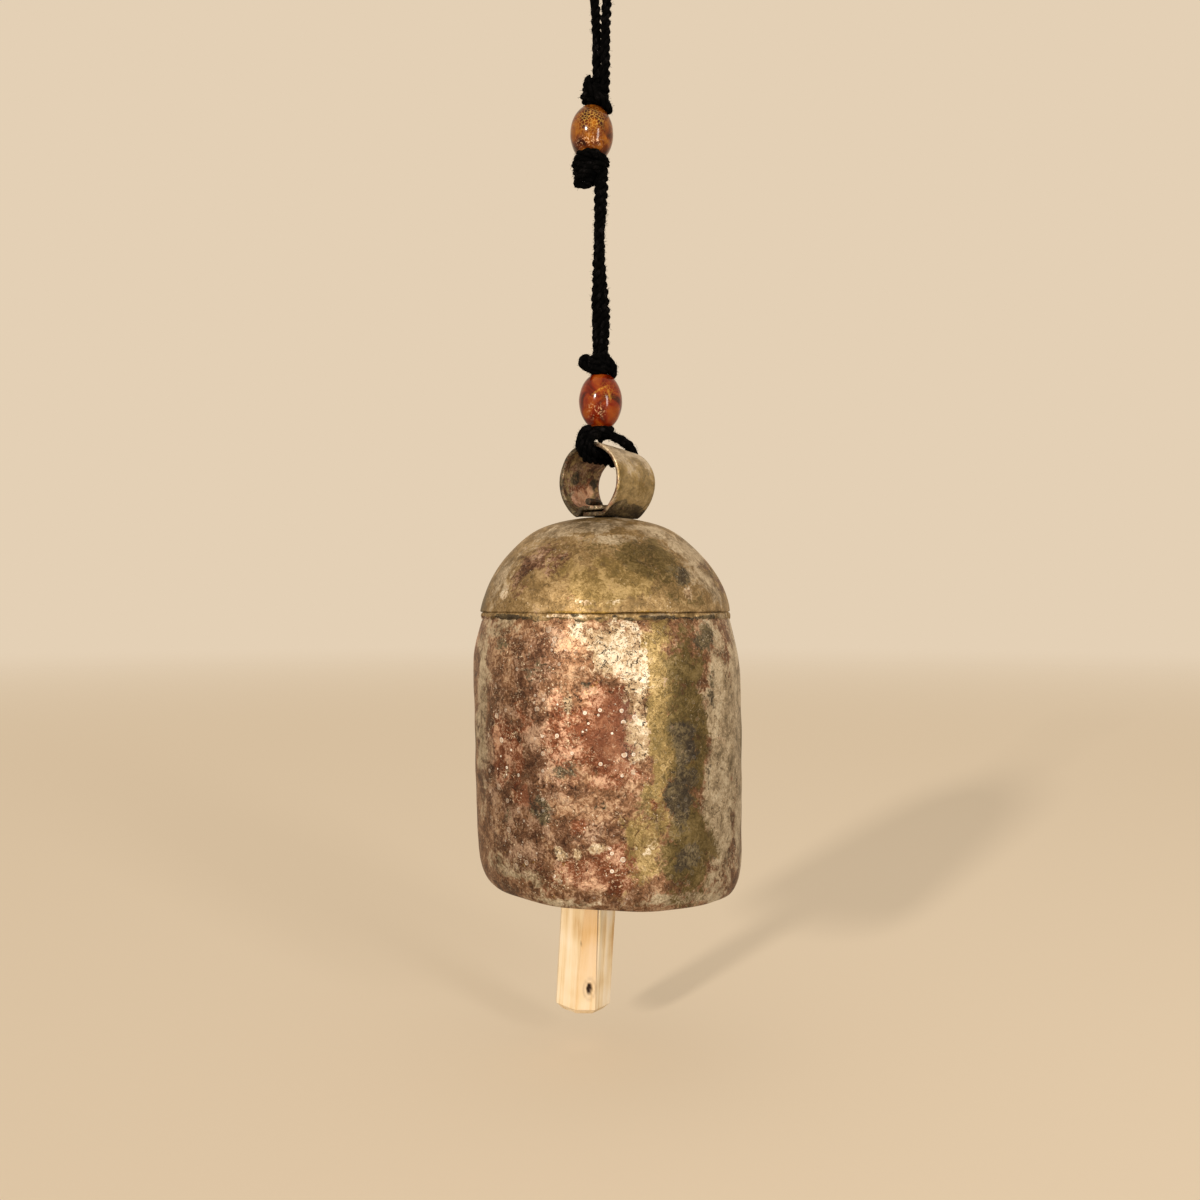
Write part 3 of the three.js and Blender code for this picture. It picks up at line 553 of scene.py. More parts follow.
def resin(name, deep, middle, pale, gold, streak):
    """Cast resin that imitates amber: glossy, see-through at the skin, with gold cracks and pale flecks inside."""
    material, tree, place = new_material(name)
    cloud = add(tree, NOISE, values={"Vector": place, "Scale": 0.22, "Detail": 3, "Distortion": 0.8})
    body = add(tree, "ShaderNodeValToRGB", values={"Fac": cloud}, stops=[(0.36, deep), (0.5, middle), (0.66, pale)])
    # Crackle: cells about 0.9 mm across
    bent = add(tree, VECTOR_MATH, "ADD", [place, cloud.outputs["Color"]])
    crackle = add(tree, "ShaderNodeTexVoronoi", {"feature": "DISTANCE_TO_EDGE"}, {"Vector": bent, "Scale": 1.1})
    line = add(tree, MAP_RANGE, SMOOTH, {"Value": crackle, "From Min": 0.11, "From Max": 0.0})
    crackled = add(tree, "ShaderNodeAttribute", {"attribute_name": "crackled"})
    lines = add(tree, MATH, "MULTIPLY", [line, crackled.outputs["Fac"]])
    cracked = add(tree, "ShaderNodeMix", COLOURS, {0: lines, 6: body, 7: gold})
    # Flecks: pale slivers where the resin has crazed near the lower end
    slivers = add(tree, NOISE, values={"Vector": place, "Scale": 0.8, "Detail": 2, "Distortion": 2.5})
    sliver = add(tree, MAP_RANGE, SMOOTH, {"Value": slivers, "From Min": 0.56, "From Max": 0.64})
    flecked = add(tree, "ShaderNodeAttribute", {"attribute_name": "flecked"})
    flecks = add(tree, MATH, "MULTIPLY", [sliver, flecked.outputs["Fac"]])
    with_flecks = add(tree, "ShaderNodeMix", COLOURS, {0: flecks, 6: cracked, 7: "#eab583"})
    streaked = add(tree, "ShaderNodeAttribute", {"attribute_name": "streaked"})
    ragged = add(tree, MATH, "MULTIPLY_ADD", [slivers, 0.9, -0.45])
    streak_edge = add(tree, MATH, "ADD", [streaked.outputs["Fac"], ragged])
    streak_mask = add(tree, MAP_RANGE, SMOOTH, {"Value": streak_edge, "From Min": 0.4, "From Max": 0.95})
    done = add(tree, "ShaderNodeMix", COLOURS, {0: streak_mask, 6: with_flecks, 7: streak})
    # Handling has dulled the gloss in faint patches
    dulled = add(tree, MAP_RANGE, values={"Value": slivers, "To Min": 0.08, "To Max": 0.2})
    shader = add(tree, "ShaderNodeBsdfPrincipled", values={
        "Base Color": done, "Roughness": dulled, "IOR": 1.54, "Specular IOR Level": 0.2,
        "Subsurface Weight": 0.12, "Subsurface Radius": (1.6, 0.6, 0.2), "Subsurface Scale": 1.0 * MM,
        "Coat Weight": 0.12, "Coat Roughness": 0.03})
    add(tree, "ShaderNodeOutputMaterial", values={"Surface": shader})
    return material


def oval_bead(name, body, node, middle, material, marks):
    """An oval bead with rounded bore mouths. marks gives the three marking strengths from a point of its skin."""
    rows = []
    bore = BEAD_BORE_DIAMETER / 2
    mouth = 0.4
    for k in range(41):
        height = BEAD_HALF_LENGTH * math.cos(k / 40 * math.pi)
        rows.append((BEAD_DIAMETER / 2 * math.sqrt(1 - (2 * height / BEAD_OVAL_LENGTH) ** 2), height))
    rows[0], rows[-1] = (bore + 0.55, BEAD_HALF_LENGTH), (bore + 0.55, -BEAD_HALF_LENGTH)
    for k in range(4):
        turn = math.radians(30 * k)
        rows.append((bore + mouth * (1 - math.sin(turn)), -BEAD_HALF_LENGTH + mouth * (1 - math.cos(turn)) - 0.02))
    rows += [(x, -z) for x, z in reversed(rows[-4:])]
    columns = 72
    points, faces, marked = [], [], []
    for k, (radius, height) in enumerate(rows):
        for c in range(columns):
            angle = 2 * math.pi * c / columns
            p = Vector((radius * math.cos(angle), radius * math.sin(angle), height))
            lumpy = 1 + 0.012 * noise.noise(p * 0.35 + Vector(middle)) if radius > bore + 1 else 1
            points.append(Vector(middle) + Vector((p.x * lumpy, p.y * lumpy, p.z)))
            marked.append(marks(p.dot(RIGHT), p.dot(TOWARDS_CAMERA), p.z))
            faces.append((k * columns + c, (k + 1) % len(rows) * columns + c,
                          (k + 1) % len(rows) * columns + (c + 1) % columns, k * columns + (c + 1) % columns))
    made = piece(name, points, faces, material)
    for i, mark in enumerate(("crackled", "flecked", "streaked")):
        store(made, mark, [m[i] for m in marked])
    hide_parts(node)
    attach(made, body)


def upper_marks(x, towards, z):
    """Crackle all over, and a belt of flecks low on the bead."""
    front = 1 if towards > 0 else 0.6
    crackle = min(0.8, 1.2 * near(x, -0.3, 5.6) * near(z, 2.2, 5.6)) * front
    fleck = min(1, 1.7 * near(x, -0.8, 5.4) * near(z, -3.9, 2.4))
    return crackle, fleck * front, 0


def lower_marks(x, towards, z):
    """Crackle at the right, flecks low down, and two pale streaks that bend over the bead."""
    front = 1 if towards > 0 else 0.5
    crackle = near(x, 2.0, 3.5) * near(z, 2.0, 4.0) * 0.6
    fleck = min(1, 1.5 * near(x, -1.2, 3.4) * near(z, -3.4, 2.8))
    streak = near(z - 0.6 * x + 0.05 * x * x, 2.6, 0.85) * near(x, -0.5, 6)
    streak = max(streak, 0.75 * near(x + 0.15 * z, 2.6, 1.2) * near(z, 1.0, 4.5))
    return crackle * front, fleck * front, streak * front


AMBER = resin("cast_amber_resin", "#330f02", "#6e3004", "#a86414", "#d8a548", "#c8943c")
RED_AMBER = resin("cast_red_amber_resin", "#450d02", "#7c2104", "#9c4a14", "#c08a2c", "#bd8430")
oval_bead("upper_bead_resin", "upper_bead", "upper_bead", UPPER_BEAD, AMBER, upper_marks)
oval_bead("lower_bead_resin", "lower_bead", "lower_bead", LOWER_BEAD, RED_AMBER, lower_marks)


# Fired metal

# Where a stain's dark, middle and light shades stand on its ramp
THIRDS = (0.0, 0.5, 1.0)

# Dark, middle and light shade of each stain that the fire left, in the order they lie on each other
# Some patches of grey, gold, olive, cream, soot and bright are partly painted light (highlights, sheen or shade), as
# the patch lists say.
SHADES = {
    "grey": ["#75664c", "#b6a285", "#ddceb2"],
    "umber": ["#402618", "#77543d", "#c2a188"],
    "gold": ["#6f5d36", "#8b7446", "#bda372"],
    "olive": ["#493d1f", "#665530", "#857249"],
    "copper": ["#5a2d19", "#8a5539", "#deb396"],
    "cream": ["#7d5c3a", "#c2a782", "#f7ead2"],
    "soot": ["#241a0f", "#473a24", "#7a6a4a"],
    # bright is the cap's lip line, partly a painted highlight on its rounded edge
    "bright": ["#6c5420", "#98783a", "#c4a562"],
    "rose": ["#693d2a", "#7e4e37", "#9b6b4f"],
    "peach": ["#8d5f46", "#cc9878", "#efc8a8"],
}


def fired_metal(name, ground, crust, base_roughness):
    """Sheet iron fired under a brazing crust of copper and brass. The flux leaves clouded stains with bright curls,
    frozen droplets, pits and scorched cracks. crust is how thick all that lies: 1 on the shell, less elsewhere."""
    material, tree, place = new_material(name)
    # Clouds 6 mm across, mottling 1.5 mm across, grain 0.5 mm across and the bends that the curls follow
    cloud, mottle, grain, bend = [
        add(tree, NOISE, values={"Vector": place, "Scale": scale, "Detail": detail, "Roughness": roughness,
                                 "Distortion": distortion})
        for scale, detail, roughness, distortion in (
            (0.17, 4, 0.58, 0.5), (0.65, 4, 0.62, 1.2), (2.0, 2, 0.6, 0.8), (0.6, 2, 0.5, 1.5))]
    # Each of these colour outputs holds three fields that have nothing to do with each other
    clouds, mottles, bends = [
        add(tree, "ShaderNodeSeparateColor", values={"Color": field.outputs["Color"]}).outputs
        for field in (cloud, mottle, bend)]
    tone = 0.0
    for field, part in ((clouds[0], 0.46), (mottle, 0.36), (grain, 0.18)):
        tone = add(tree, MATH, "MULTIPLY_ADD", [field, part, tone])
    tone = add(tree, MAP_RANGE, SMOOTH, {"Value": tone, "From Min": 0.37, "From Max": 0.63})

    colour = add(tree, "ShaderNodeValToRGB", values={"Fac": tone}, stops=zip(THIRDS, ground))
    masks = {}
    for i, (kind, shades) in enumerate(SHADES.items()):
        tint = add(tree, "ShaderNodeValToRGB", values={"Fac": tone}, stops=zip(THIRDS, shades))
        painted = add(tree, "ShaderNodeAttribute", {"attribute_name": kind}).outputs["Fac"]
        ragged = add(tree, MATH, "MULTIPLY_ADD", [mottles[(i + 1) % 3], 1.6, painted])
        ragged = add(tree, MATH, "MULTIPLY_ADD", [clouds[i % 3], 2.0, ragged])
        masks[kind] = add(tree, MAP_RANGE, SMOOTH, {"Value": ragged, "From Min": 2.2, "From Max": 2.62})
        colour = add(tree, "ShaderNodeMix", COLOURS, {0: masks[kind], 6: colour, 7: tint})

    # Gold, olive, bright and rose skins are smooth; copper and cream carry the thickest crust
    smooth_skin = masks["gold"]
    for kind in ("bright", "olive", "rose"):
        smooth_skin = add(tree, MATH, "MAXIMUM", [smooth_skin, masks[kind]])
    crusty = add(tree, MATH, "MULTIPLY_ADD", [smooth_skin, -0.75, 1.0])
    thick = add(tree, MATH, "MAXIMUM", [masks["copper"], masks["cream"]])
    thick = add(tree, MATH, "MULTIPLY_ADD", [thick, 0.45, 0.45])
    drifts = add(tree, MAP_RANGE, SMOOTH, {"Value": clouds[2], "From Min": 0.46, "From Max": 0.58, "To Min": 0.25})

    # Curls: threads of flux frozen bright, 0.3 mm wide and 1 to 3 mm long, and scorched cracks of the same size
    threads = []
    for bent, broken_by in ((bends[0], mottles[1]), (bends[1], mottles[2])):
        off = add(tree, MATH, "SUBTRACT", [bent, 0.5])
        off = add(tree, MATH, "ABSOLUTE", [off])
        thread = add(tree, MAP_RANGE, SMOOTH, {"Value": off, "From Min": 0.045, "From Max": 0.012})
        short = add(tree, MAP_RANGE, SMOOTH, {"Value": broken_by, "From Min": 0.48, "From Max": 0.55})
        threads.append(add(tree, MATH, "MULTIPLY", [thread, short]))
    curl, crack = threads
    for factor in (crusty, thick, drifts):
        curl = add(tree, MATH, "MULTIPLY", [curl, factor])
    scorched = add(tree, MATH, "MULTIPLY_ADD", [masks["cream"], 0.85, 0.4])
    scorched = add(tree, MATH, "MAXIMUM", [masks["soot"], scorched])
    crack = add(tree, MATH, "MULTIPLY", [crack, scorched])

    # Pits: dark specks half a millimetre across
    pit = add(tree, MAP_RANGE, SMOOTH, {"Value": mottles[0], "From Min": 0.36, "From Max": 0.3})
    pit = add(tree, MATH, "MULTIPLY", [pit, crusty])

    # Droplets up to 1.7 mm wide, thickest on the copper: pale flux with paler rims, its pale colour partly a painted
    # glint where the droplets would catch the light
    cells = add(tree, "ShaderNodeTexVoronoi", values={"Vector": place, "Scale": 0.5})
    chance = add(tree, "ShaderNodeSeparateColor", values={"Color": cells.outputs["Color"]}).outputs
    size = add(tree, MATH, "POWER", [chance[0], 3.0])
    size = add(tree, MATH, "MULTIPLY_ADD", [size, 0.34, 0.1])
    inside = add(tree, MATH, "SUBTRACT", [size, cells.outputs["Distance"]])
    few = add(tree, MATH, "GREATER_THAN", [chance[1], 0.45])
    spread = add(tree, MATH, "MULTIPLY_ADD", [masks["copper"], 0.8, 0.06])
    spread = add(tree, MATH, {"operation": "MULTIPLY_ADD", "use_clamp": True}, [masks["umber"], 0.35, spread])
    drop = add(tree, MAP_RANGE, SMOOTH, {"Value": inside, "From Min": 0.0, "From Max": 0.03, "To Max": crust})
    for factor in (few, spread):
        drop = add(tree, MATH, "MULTIPLY", [drop, factor])
    heart = add(tree, MAP_RANGE, SMOOTH, {"Value": inside, "From Min": 0.05, "From Max": 0.12})
    drop_and_glint_colour = add(tree, "ShaderNodeMix", COLOURS, {0: heart, 6: "#fff6e6", 7: "#d9bda2"})

    # Specks: white grit 0.4 mm across, in drifts
    grit = add(tree, "ShaderNodeTexVoronoi", values={"Vector": place, "Scale": 0.95})
    picked = add(tree, "ShaderNodeSeparateColor", values={"Color": grit.outputs["Color"]}).outputs[0]
    picked = add(tree, MATH, "GREATER_THAN", [picked, 0.6])
    speck = add(tree, MAP_RANGE, SMOOTH, {
        "Value": grit.outputs["Distance"], "From Min": 0.22, "From Max": 0.12, "To Max": 0.8 * crust})
    for factor in (picked, drifts, crusty):
        speck = add(tree, MATH, "MULTIPLY", [speck, factor])

    for mask, strength, shade in (
            (curl, crust, "#f0d8b6"), (crack, 0.8 * crust, "#1d150d"),
            (pit, 0.65 * crust, "#2a1c10"), (drop, 1.0, drop_and_glint_colour), (speck, 1.0, "#f5e6cc")):
        share = add(tree, MATH, "MULTIPLY", [mask, strength])
        colour = add(tree, "ShaderNodeMix", COLOURS, {0: share, 6: colour, 7: shade})

    # Soot is rough; cream, soot and droplets are more oxide or flux than metal
    rough = base_roughness - 0.12
    for mask, weight in ((mottle, 0.25), (masks["soot"], 0.25), (smooth_skin, -0.03)):
        rough = add(tree, MATH, "MULTIPLY_ADD", [mask, weight, rough])
    metal = 0.75
    for mask in (masks["cream"], masks["soot"], drop):
        metal = add(tree, MATH, {"operation": "MULTIPLY_ADD", "use_clamp": mask is drop}, [mask, -0.4, metal])
    relief = 0.0
    for raised, height in ((grain, 0.5), (mottle, 0.7), (curl, 0.5), (drop, 0.9), (speck, 0.4), (pit, -0.5),
                           (crack, -0.7)):
        relief = add(tree, MATH, "MULTIPLY_ADD", [raised, height, relief])
    bump = add(tree, "ShaderNodeBump", values={
        "Height": relief, "Strength": 0.25 + 0.4 * crust, "Distance": 0.22 * MM})
    shader = add(tree, "ShaderNodeBsdfPrincipled", values={
        "Base Color": colour, "Roughness": rough, "Metallic": metal, "Normal": bump})
    add(tree, "ShaderNodeOutputMaterial", values={"Surface": shader})
    return material


# Stains out of the camera's sight: kind, how many on the shell, half width, and half height on a piece 70 mm tall
HIDDEN_STAINS = (("umber", 6, 14, 18), ("copper", 7, 8, 9), ("gold", 6, 9, 18), ("olive", 5, 9, 14),
                 ("cream", 5, 5, 6), ("soot", 9, 4, 7), ("grey", 7, 8, 14))


def stain(made, patches, level, seed, hidden=1.0):
    """Paints how strongly each stain lies on the piece's points. A patch is degrees round from the camera, millimetres
    up from a level, half width, half height and strength. The side away from the camera gets scattered patches of
    the same kinds."""
    low = min(v.co.z for v in made.data.vertices) / MM - level
    high = max(v.co.z for v in made.data.vertices) / MM - level
    pick = random.Random(seed)
    everywhere = {kind: list(patches.get(kind, [])) for kind in SHADES}
    for kind, count, wide, tall in HIDDEN_STAINS:
        for _ in range(round(count * hidden)):
            everywhere[kind].append((
                pick.uniform(85, 275), pick.uniform(low, high), wide * pick.uniform(0.5, 1.3),
                tall * min(1, (high - low) / 70) * pick.uniform(0.5, 1.3), pick.uniform(0.8, 1.2)))
    count = len(made.data.vertices)
    degrees, up, radius, warp_round, warp_up = np.zeros((5, count))
    for i, v in enumerate(made.data.vertices):
        p = v.co / MM - Vector((BELL_X, 0, 0))
        warp = noise.noise_vector(p * 0.11) * 3.4 + noise.noise_vector(p * 0.33 + Vector((7, 3, 1))) * 1.5
        degrees[i] = math.degrees(math.atan2(p.dot(RIGHT), p.dot(TOWARDS_CAMERA)))
        up[i], radius[i] = p.z - level, max(12, math.hypot(p.x, p.y))
        warp_round[i], warp_up[i] = warp.x, warp.z
    for kind in SHADES:
        value = np.zeros(count)
        for turn, height, wide, tall, strength in everywhere[kind]:
            # A small patch keeps its place: only the wide ones are bent by the warp
            soft = min(1.0, min(wide, tall) / 4)
            across = np.radians((degrees - turn + 180) % 360 - 180) * radius + warp_round * soft
            away = np.hypot(across / wide, (up - height + warp_up * soft) / tall)
            value = np.maximum(value, strength * np.clip(1.5 - away, 0, 1))
        store(made, kind, value)


def beaten(degrees, z):
    """How far hand beating has pushed the sheet out at a place, in millimetres."""
    turn = math.radians(degrees)
    p = Vector((math.cos(turn) * 36, math.sin(turn) * 36, z))
    return 0.55 * noise.noise(p / 17 + Vector((3, 1, 8))) + 0.16 * noise.noise(p / 6.5 + Vector((1, 5, 2)))


def ripple(degrees, waves, field):
    """Noise that runs round the bell and meets itself. More waves make it finer."""
    turn = math.radians(degrees)
    return noise.noise(Vector((math.cos(turn) * waves, math.sin(turn) * waves, field)))


def hung_crooked(radius, degrees, z):
    """The place on the bell at a radius, angle and height, once it has hung crooked: it leans to the camera's right
    below its lip and to the left above it, and its rim dips at the right."""
    turn = math.radians(degrees)
    p = Vector((radius * math.cos(turn), radius * math.sin(turn), z))
    below = max(0.0, (CAP_LIP_Z - z) / (CAP_LIP_Z - RIM_Z))
    above = max(0.0, (z - CAP_LIP_Z) / (CAP_APEX_Z - CAP_LIP_Z))
    lean = LEAN_AT_LIP + (LEAN_AT_RIM - LEAN_AT_LIP) * below + (LEAN_AT_APEX - LEAN_AT_LIP) * above
    dip = RIM_DIP * p.dot(RIGHT) / SHELL_RADIUS * below ** 3
    return beside(p, lean, 0, -dip) + Vector((BELL_X, 0, 0))


def turned_sheet(name, rows, columns, material, shape, ring=False):
    """A closed turned piece. rows are [radius, z], down the outside and back up the inside. A ring has no poles."""
    points, faces, starts = [], [], []
    for radius, z in rows:
        starts.append((len(points), 1 if radius < 1e-6 else columns))
        for c in range(starts[-1][1]):
            points.append(shape(360 * c / columns, radius, z, len(starts) - 1))
    pairs = list(zip(range(len(rows)), range(1, len(rows)))) + ([(len(rows) - 1, 0)] if ring else [])
    for a, b in pairs:
        (sa, na), (sb, nb) = starts[a], starts[b]
        for c in range(columns):
            d = (c + 1) % columns
            if na == 1:
                faces.append((sa, sb + c, sb + d))
            elif nb == 1:
                faces.append((sa + c, sb, sa + d))
            else:
                faces.append((sa + c, sb + c, sb + d, sa + d))
    return piece(name, points, faces, material)


def bezier(a, b, c, d, count):
    """Points of an outline along one cubic curve."""
    out = []
    for k in range(count + 1):
        t = k / count
        s = 1 - t
        weights = (s ** 3, 3 * s * s * t, 3 * s * t * t, t ** 3)
        out.append(tuple(sum(weight * q[i] for weight, q in zip(weights, (a, b, c, d))) for i in (0, 1)))
    return out


def dome(radius, height, steps):
    """The cap's outline, as in the source."""
    out = []
    for k in range(steps + 1):
        angle = math.pi / 2 * (1 - k / steps)
        wide = radius * math.cos(angle) ** (2 / CAP_ROUNDNESS) if k else 0
        out.append((wide, CAP_LIP_Z + height * math.sin(angle) ** (2 / CAP_SHOULDER)))
    return out


def shell_outline():
    """The shell's outside from the neck under the cap down to the rim."""
    ledge = CAP_LIP_Z - SEAT
    inset = CAP_WALL + SEAT
    neck = [(r, z) for r, z in dome(CAP_RADIUS - inset, CAP_HEIGHT - inset, 40) if z < CAP_LIP_Z + NECK_LAP]
    low = ledge - SHELL_SHOULDER_HEIGHT
    shoulder = bezier(
        (SHELL_SHOULDER_RADIUS, ledge - 0.3), (SHELL_SHOULDER_RADIUS + 1.6, ledge - 0.25 * SHELL_SHOULDER_HEIGHT),
        (SHELL_RADIUS, ledge - 0.5 * SHELL_SHOULDER_HEIGHT), (SHELL_RADIUS, low), 26)
    rim_top = RIM_Z + SHELL_RIM_HEIGHT
    steps = 46
    body = [(SHELL_RADIUS - (SHELL_RADIUS - SHELL_WAIST_RADIUS) * (k / steps) ** 2, low + (rim_top - low) * k / steps)
            for k in range(1, steps)]
    rim = bezier(
        (SHELL_WAIST_RADIUS, rim_top), (SHELL_WAIST_RADIUS, RIM_Z + 0.45 * SHELL_RIM_HEIGHT),
        (SHELL_RIM_RADIUS + 1.4, RIM_Z + 0.12 * SHELL_RIM_HEIGHT), (SHELL_RIM_RADIUS, RIM_Z), 18)
    return neck + shoulder + body + rim


def bell_shell(material):
    """The rolled sheet, with its wall, its turned-in rim and its lap at the back."""
    outer = shell_outline()
    inner = []
    for i in range(len(outer) - 2, 0, -2):
        (r0, z0), (r1, z1) = outer[i - 1], outer[i + 1]
        wall = SHELL_WALL / math.hypot(r1 - r0, z1 - z0)
        inner.append((outer[i][0] + (z1 - z0) * wall, outer[i][1] - (r1 - r0) * wall))
    edge = [(SHELL_RIM_RADIUS - inwards, RIM_Z + up) for inwards, up in ((0.4, -0.12), (1.3, -0.05), (1.75, 0.35))]

    def shape(degrees, radius, z, row):
        out = radius + beaten(degrees, z) * held((CAP_LIP_Z - 1.2 - z) / 2)
        # Flats left where the rim was knocked inwards, about 19 mm apart
        flat = max(0.0, 1 - abs(z - RIM_Z) / FLAT_HEIGHT)
        phase = (degrees + 6 * math.sin(math.radians(degrees * 3))) % FLAT_SPACING_DEG - FLAT_SPACING_DEG / 2
        out -= flat * FLAT_DEPTH * (1 - math.cos(math.radians(phase * 6))) * 0.5
        # The lap where the rolled sheet's end rides over its start, at the back
        back = degrees - 90
        if row < len(outer) and z < CAP_LIP_Z - 1.5:
            out += 1.15 * held((back - 2) / 0.9) * held((15 - back) / 4)
        return hung_crooked(out, degrees, z + 0.45 * ripple(degrees, 2.1, 4) * flat)

    rows = outer + edge + [q for q in inner if q[1] > RIM_Z + 1.0 or q[0] > 34]
    made = turned_sheet("rolled_shell", rows, 300, material, shape, ring=True)
    stain(made, SHELL_PATCHES, RIM_Z, 5)
    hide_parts("bell_shell")
    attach(made, "bell")


def crown_cap(material):
    """The domed cap, beaten a little flatter than a true dome, with a wavy lip."""
    outer = dome(CAP_RADIUS, CAP_HEIGHT, 60)[:-1]
    lip = [(CAP_RADIUS - inwards, CAP_LIP_Z + up) for inwards, up in ((0.02, 0.25), (0.2, 0), (1.05, 0), (1.28, 0.3))]
    inner = [q for q in reversed(dome(CAP_RADIUS - CAP_WALL, CAP_HEIGHT - CAP_WALL, 24)) if q[1] > CAP_LIP_Z + 0.8]

    def shape(degrees, radius, z, row):
        near_lip = max(0.0, 1 - (z - CAP_LIP_Z) / 5)
        out = radius + 0.7 * beaten(degrees + 40, z + 60) * min(1, radius / 12) + 0.9 * near(radius, 17, 10)
        out += near_lip * 0.5 * ripple(degrees, 2.4, 5)
        wave = 0.35 * ripple(degrees, 1.8, 9) + 0.18 * ripple(degrees, 9, 2)
        return hung_crooked(out, degrees, z + wave * near_lip)

    made = turned_sheet("domed_cap", outer + lip + inner, 288, material, shape)
    stain(made, CAP_PATCHES, CAP_LIP_Z, 9, hidden=0.6)
    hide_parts("crown_cap")
    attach(made, "bell")


def brazed_seam(material):
    """The brazing metal that filled the step under the cap's lip and froze in crinkles."""
    rows = []
    for k in range(16):
        turn = math.radians(100 - 200 * k / 15)
        rows.append((SEAM_RADIUS + SEAM_BULGE * math.cos(turn), CAP_LIP_Z - 1.1 + 1.15 * math.sin(turn)))

    def shape(degrees, radius, z, row):
        turn = math.radians(degrees)
        round_it = Vector((math.cos(turn), math.sin(turn), 0))
        bulge = max(0.0, radius - SEAM_RADIUS) / SEAM_BULGE
        crinkle = sum(0.5 * noise.noise(round_it * waves + Vector((0, 0, z * climb)))
                      for waves, climb in ((46, 0.35), (15, 0.2)))
        # The brazing ran down in drips
        drip = 1.1 * noise.noise(round_it * 13 + Vector((2, 2, 2))) if z < CAP_LIP_Z - 1.3 else 0
        return hung_crooked(radius + bulge * crinkle + 0.15, degrees, z + drip)

    made = turned_sheet("brazed_seam", rows, 420, material, shape, ring=True)
    stain(made, SEAM_PATCHES, CAP_LIP_Z, 3, hidden=0.8)
    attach(made, "bell")


# The stains that the photograph shows, as stain() takes them, from the shell's rim and from the cap's lip

# Some of these patches are partly painted light, as the comments among them say.
SHELL_PATCHES = {
    "umber": [(-39, 37, 16.3, 24.2, 1), (-29, 65, 10.1, 7.6, 0.8), (-11, 18, 13.2, 6.6, 0.85),
              (-30, 61, 7.0, 6.5, 0.9), (-37, 18, 10.0, 10.2, 0.85), (-3, 57, 7.1, 2.3, 0.6),
              (-19, 31, 8.2, 3.1, 0.6), (-3, 4, 11.3, 2.3, 0.6)],
    "copper": [(0, 45, 8.4, 12.2, 1.3), (-19, 43, 5.4, 8.6, 1.1), (-46, 38, 5.0, 9.5, 1.05),
               (-38, 48, 4.0, 5.6, 0.75), (-3, 11, 9.7, 5.1, 1), (-12, 22, 2.3, 2.0, 0.9), (-50, 43, 2.3, 3.6, 1),
               (-37, 26, 3.4, 2.3, 0.75), (11, 28, 6.2, 3.1, 0.6), (-25, 9, 4.0, 3.6, 0.5)],
    # The gold at 20 degrees is partly a painted sheen down the band, and the olive at 33 and 34 degrees partly painted
    # shade on the band's far side
    "gold": [(20, 50, 4.2, 24, 1.25), (13, 16, 6.3, 10.2, 0.95)],
    "olive": [(33, 46, 6.2, 30.0, 1.1), (34, 15, 8.8, 15.3, 1.05), (19, 28, 4.3, 6.1, 0.6)],
    # The cream high at 2 degrees and the narrow upright cream at 10 and 11 degrees are pale crust and partly a painted
    # highlight
    "cream": [(2, 67, 8.1, 6.6, 1.2), (-11, 69, 3.6, 3.6, 0.85), (11, 57, 2.9, 15, 1.55), (10, 43, 3.0, 4.6, 1.6),
              (-15, 52, 1.3, 2.3, 0.8), (-4, 16, 3.0, 1.3, 0.75), (-20, 15, 1.6, 1.8, 1), (-12, 15, 1.0, 1.5, 0.8),
              (15, 18, 2.6, 3.6, 0.6), (-12, 2, 6.3, 0.8, 0.5)],
    "soot": [(31, 43, 3.4, 5.5, 1.25), (31, 29, 4.2, 8.0, 1.35), (34, 13, 3.8, 3.2, 1.1), (-27, 26, 4.4, 3.3, 0.9),
             (-16, 36, 3.2, 2.3, 0.75), (-30, 63, 5.0, 5.6, 0.55), (-9, 58, 1.8, 1.0, 0.8), (44, 68, 3.6, 3.6, 0.9),
             (47, 55, 1.7, 6.1, 0.75), (-49, 68, 2.7, 3.6, 0.6), (-4, 27, 3.0, 1.0, 0.5), (44, 35, 1.2, 7.6, 0.5),
             (-45, 29, 1.6, 10.2, 0.5)],
    # The grey at 54, 73 and -66 degrees is dulled metal and partly a painted reflection along the shell's edges
    "grey": [(54, 37, 8.7, 35.7, 1.2), (73, 40, 8, 38, 1.15), (40, 53, 2.9, 8.7, 0.75), (-66, 48, 5.1, 28.0, 0.9),
             (-54, 72, 6.7, 3.1, 0.9), (-40, 9, 14.5, 4.3, 0.85), (-19, 2, 11.1, 1.3, 0.6), (31, 2, 13.2, 1.8, 0.85),
             (43, 19, 3.1, 7.6, 0.6)],
    "rose": [(1, 46, 5.6, 9.6, 1.15), (-34, 27, 3.2, 4.0, 0.8), (-5, 9, 4.0, 2.4, 0.7)],
    "peach": [(-50, 43, 1.7, 3.2, 1.05), (-5, 9, 7.0, 3.4, 0.42), (-20, 50, 3.4, 6.4, 0.45)],
}
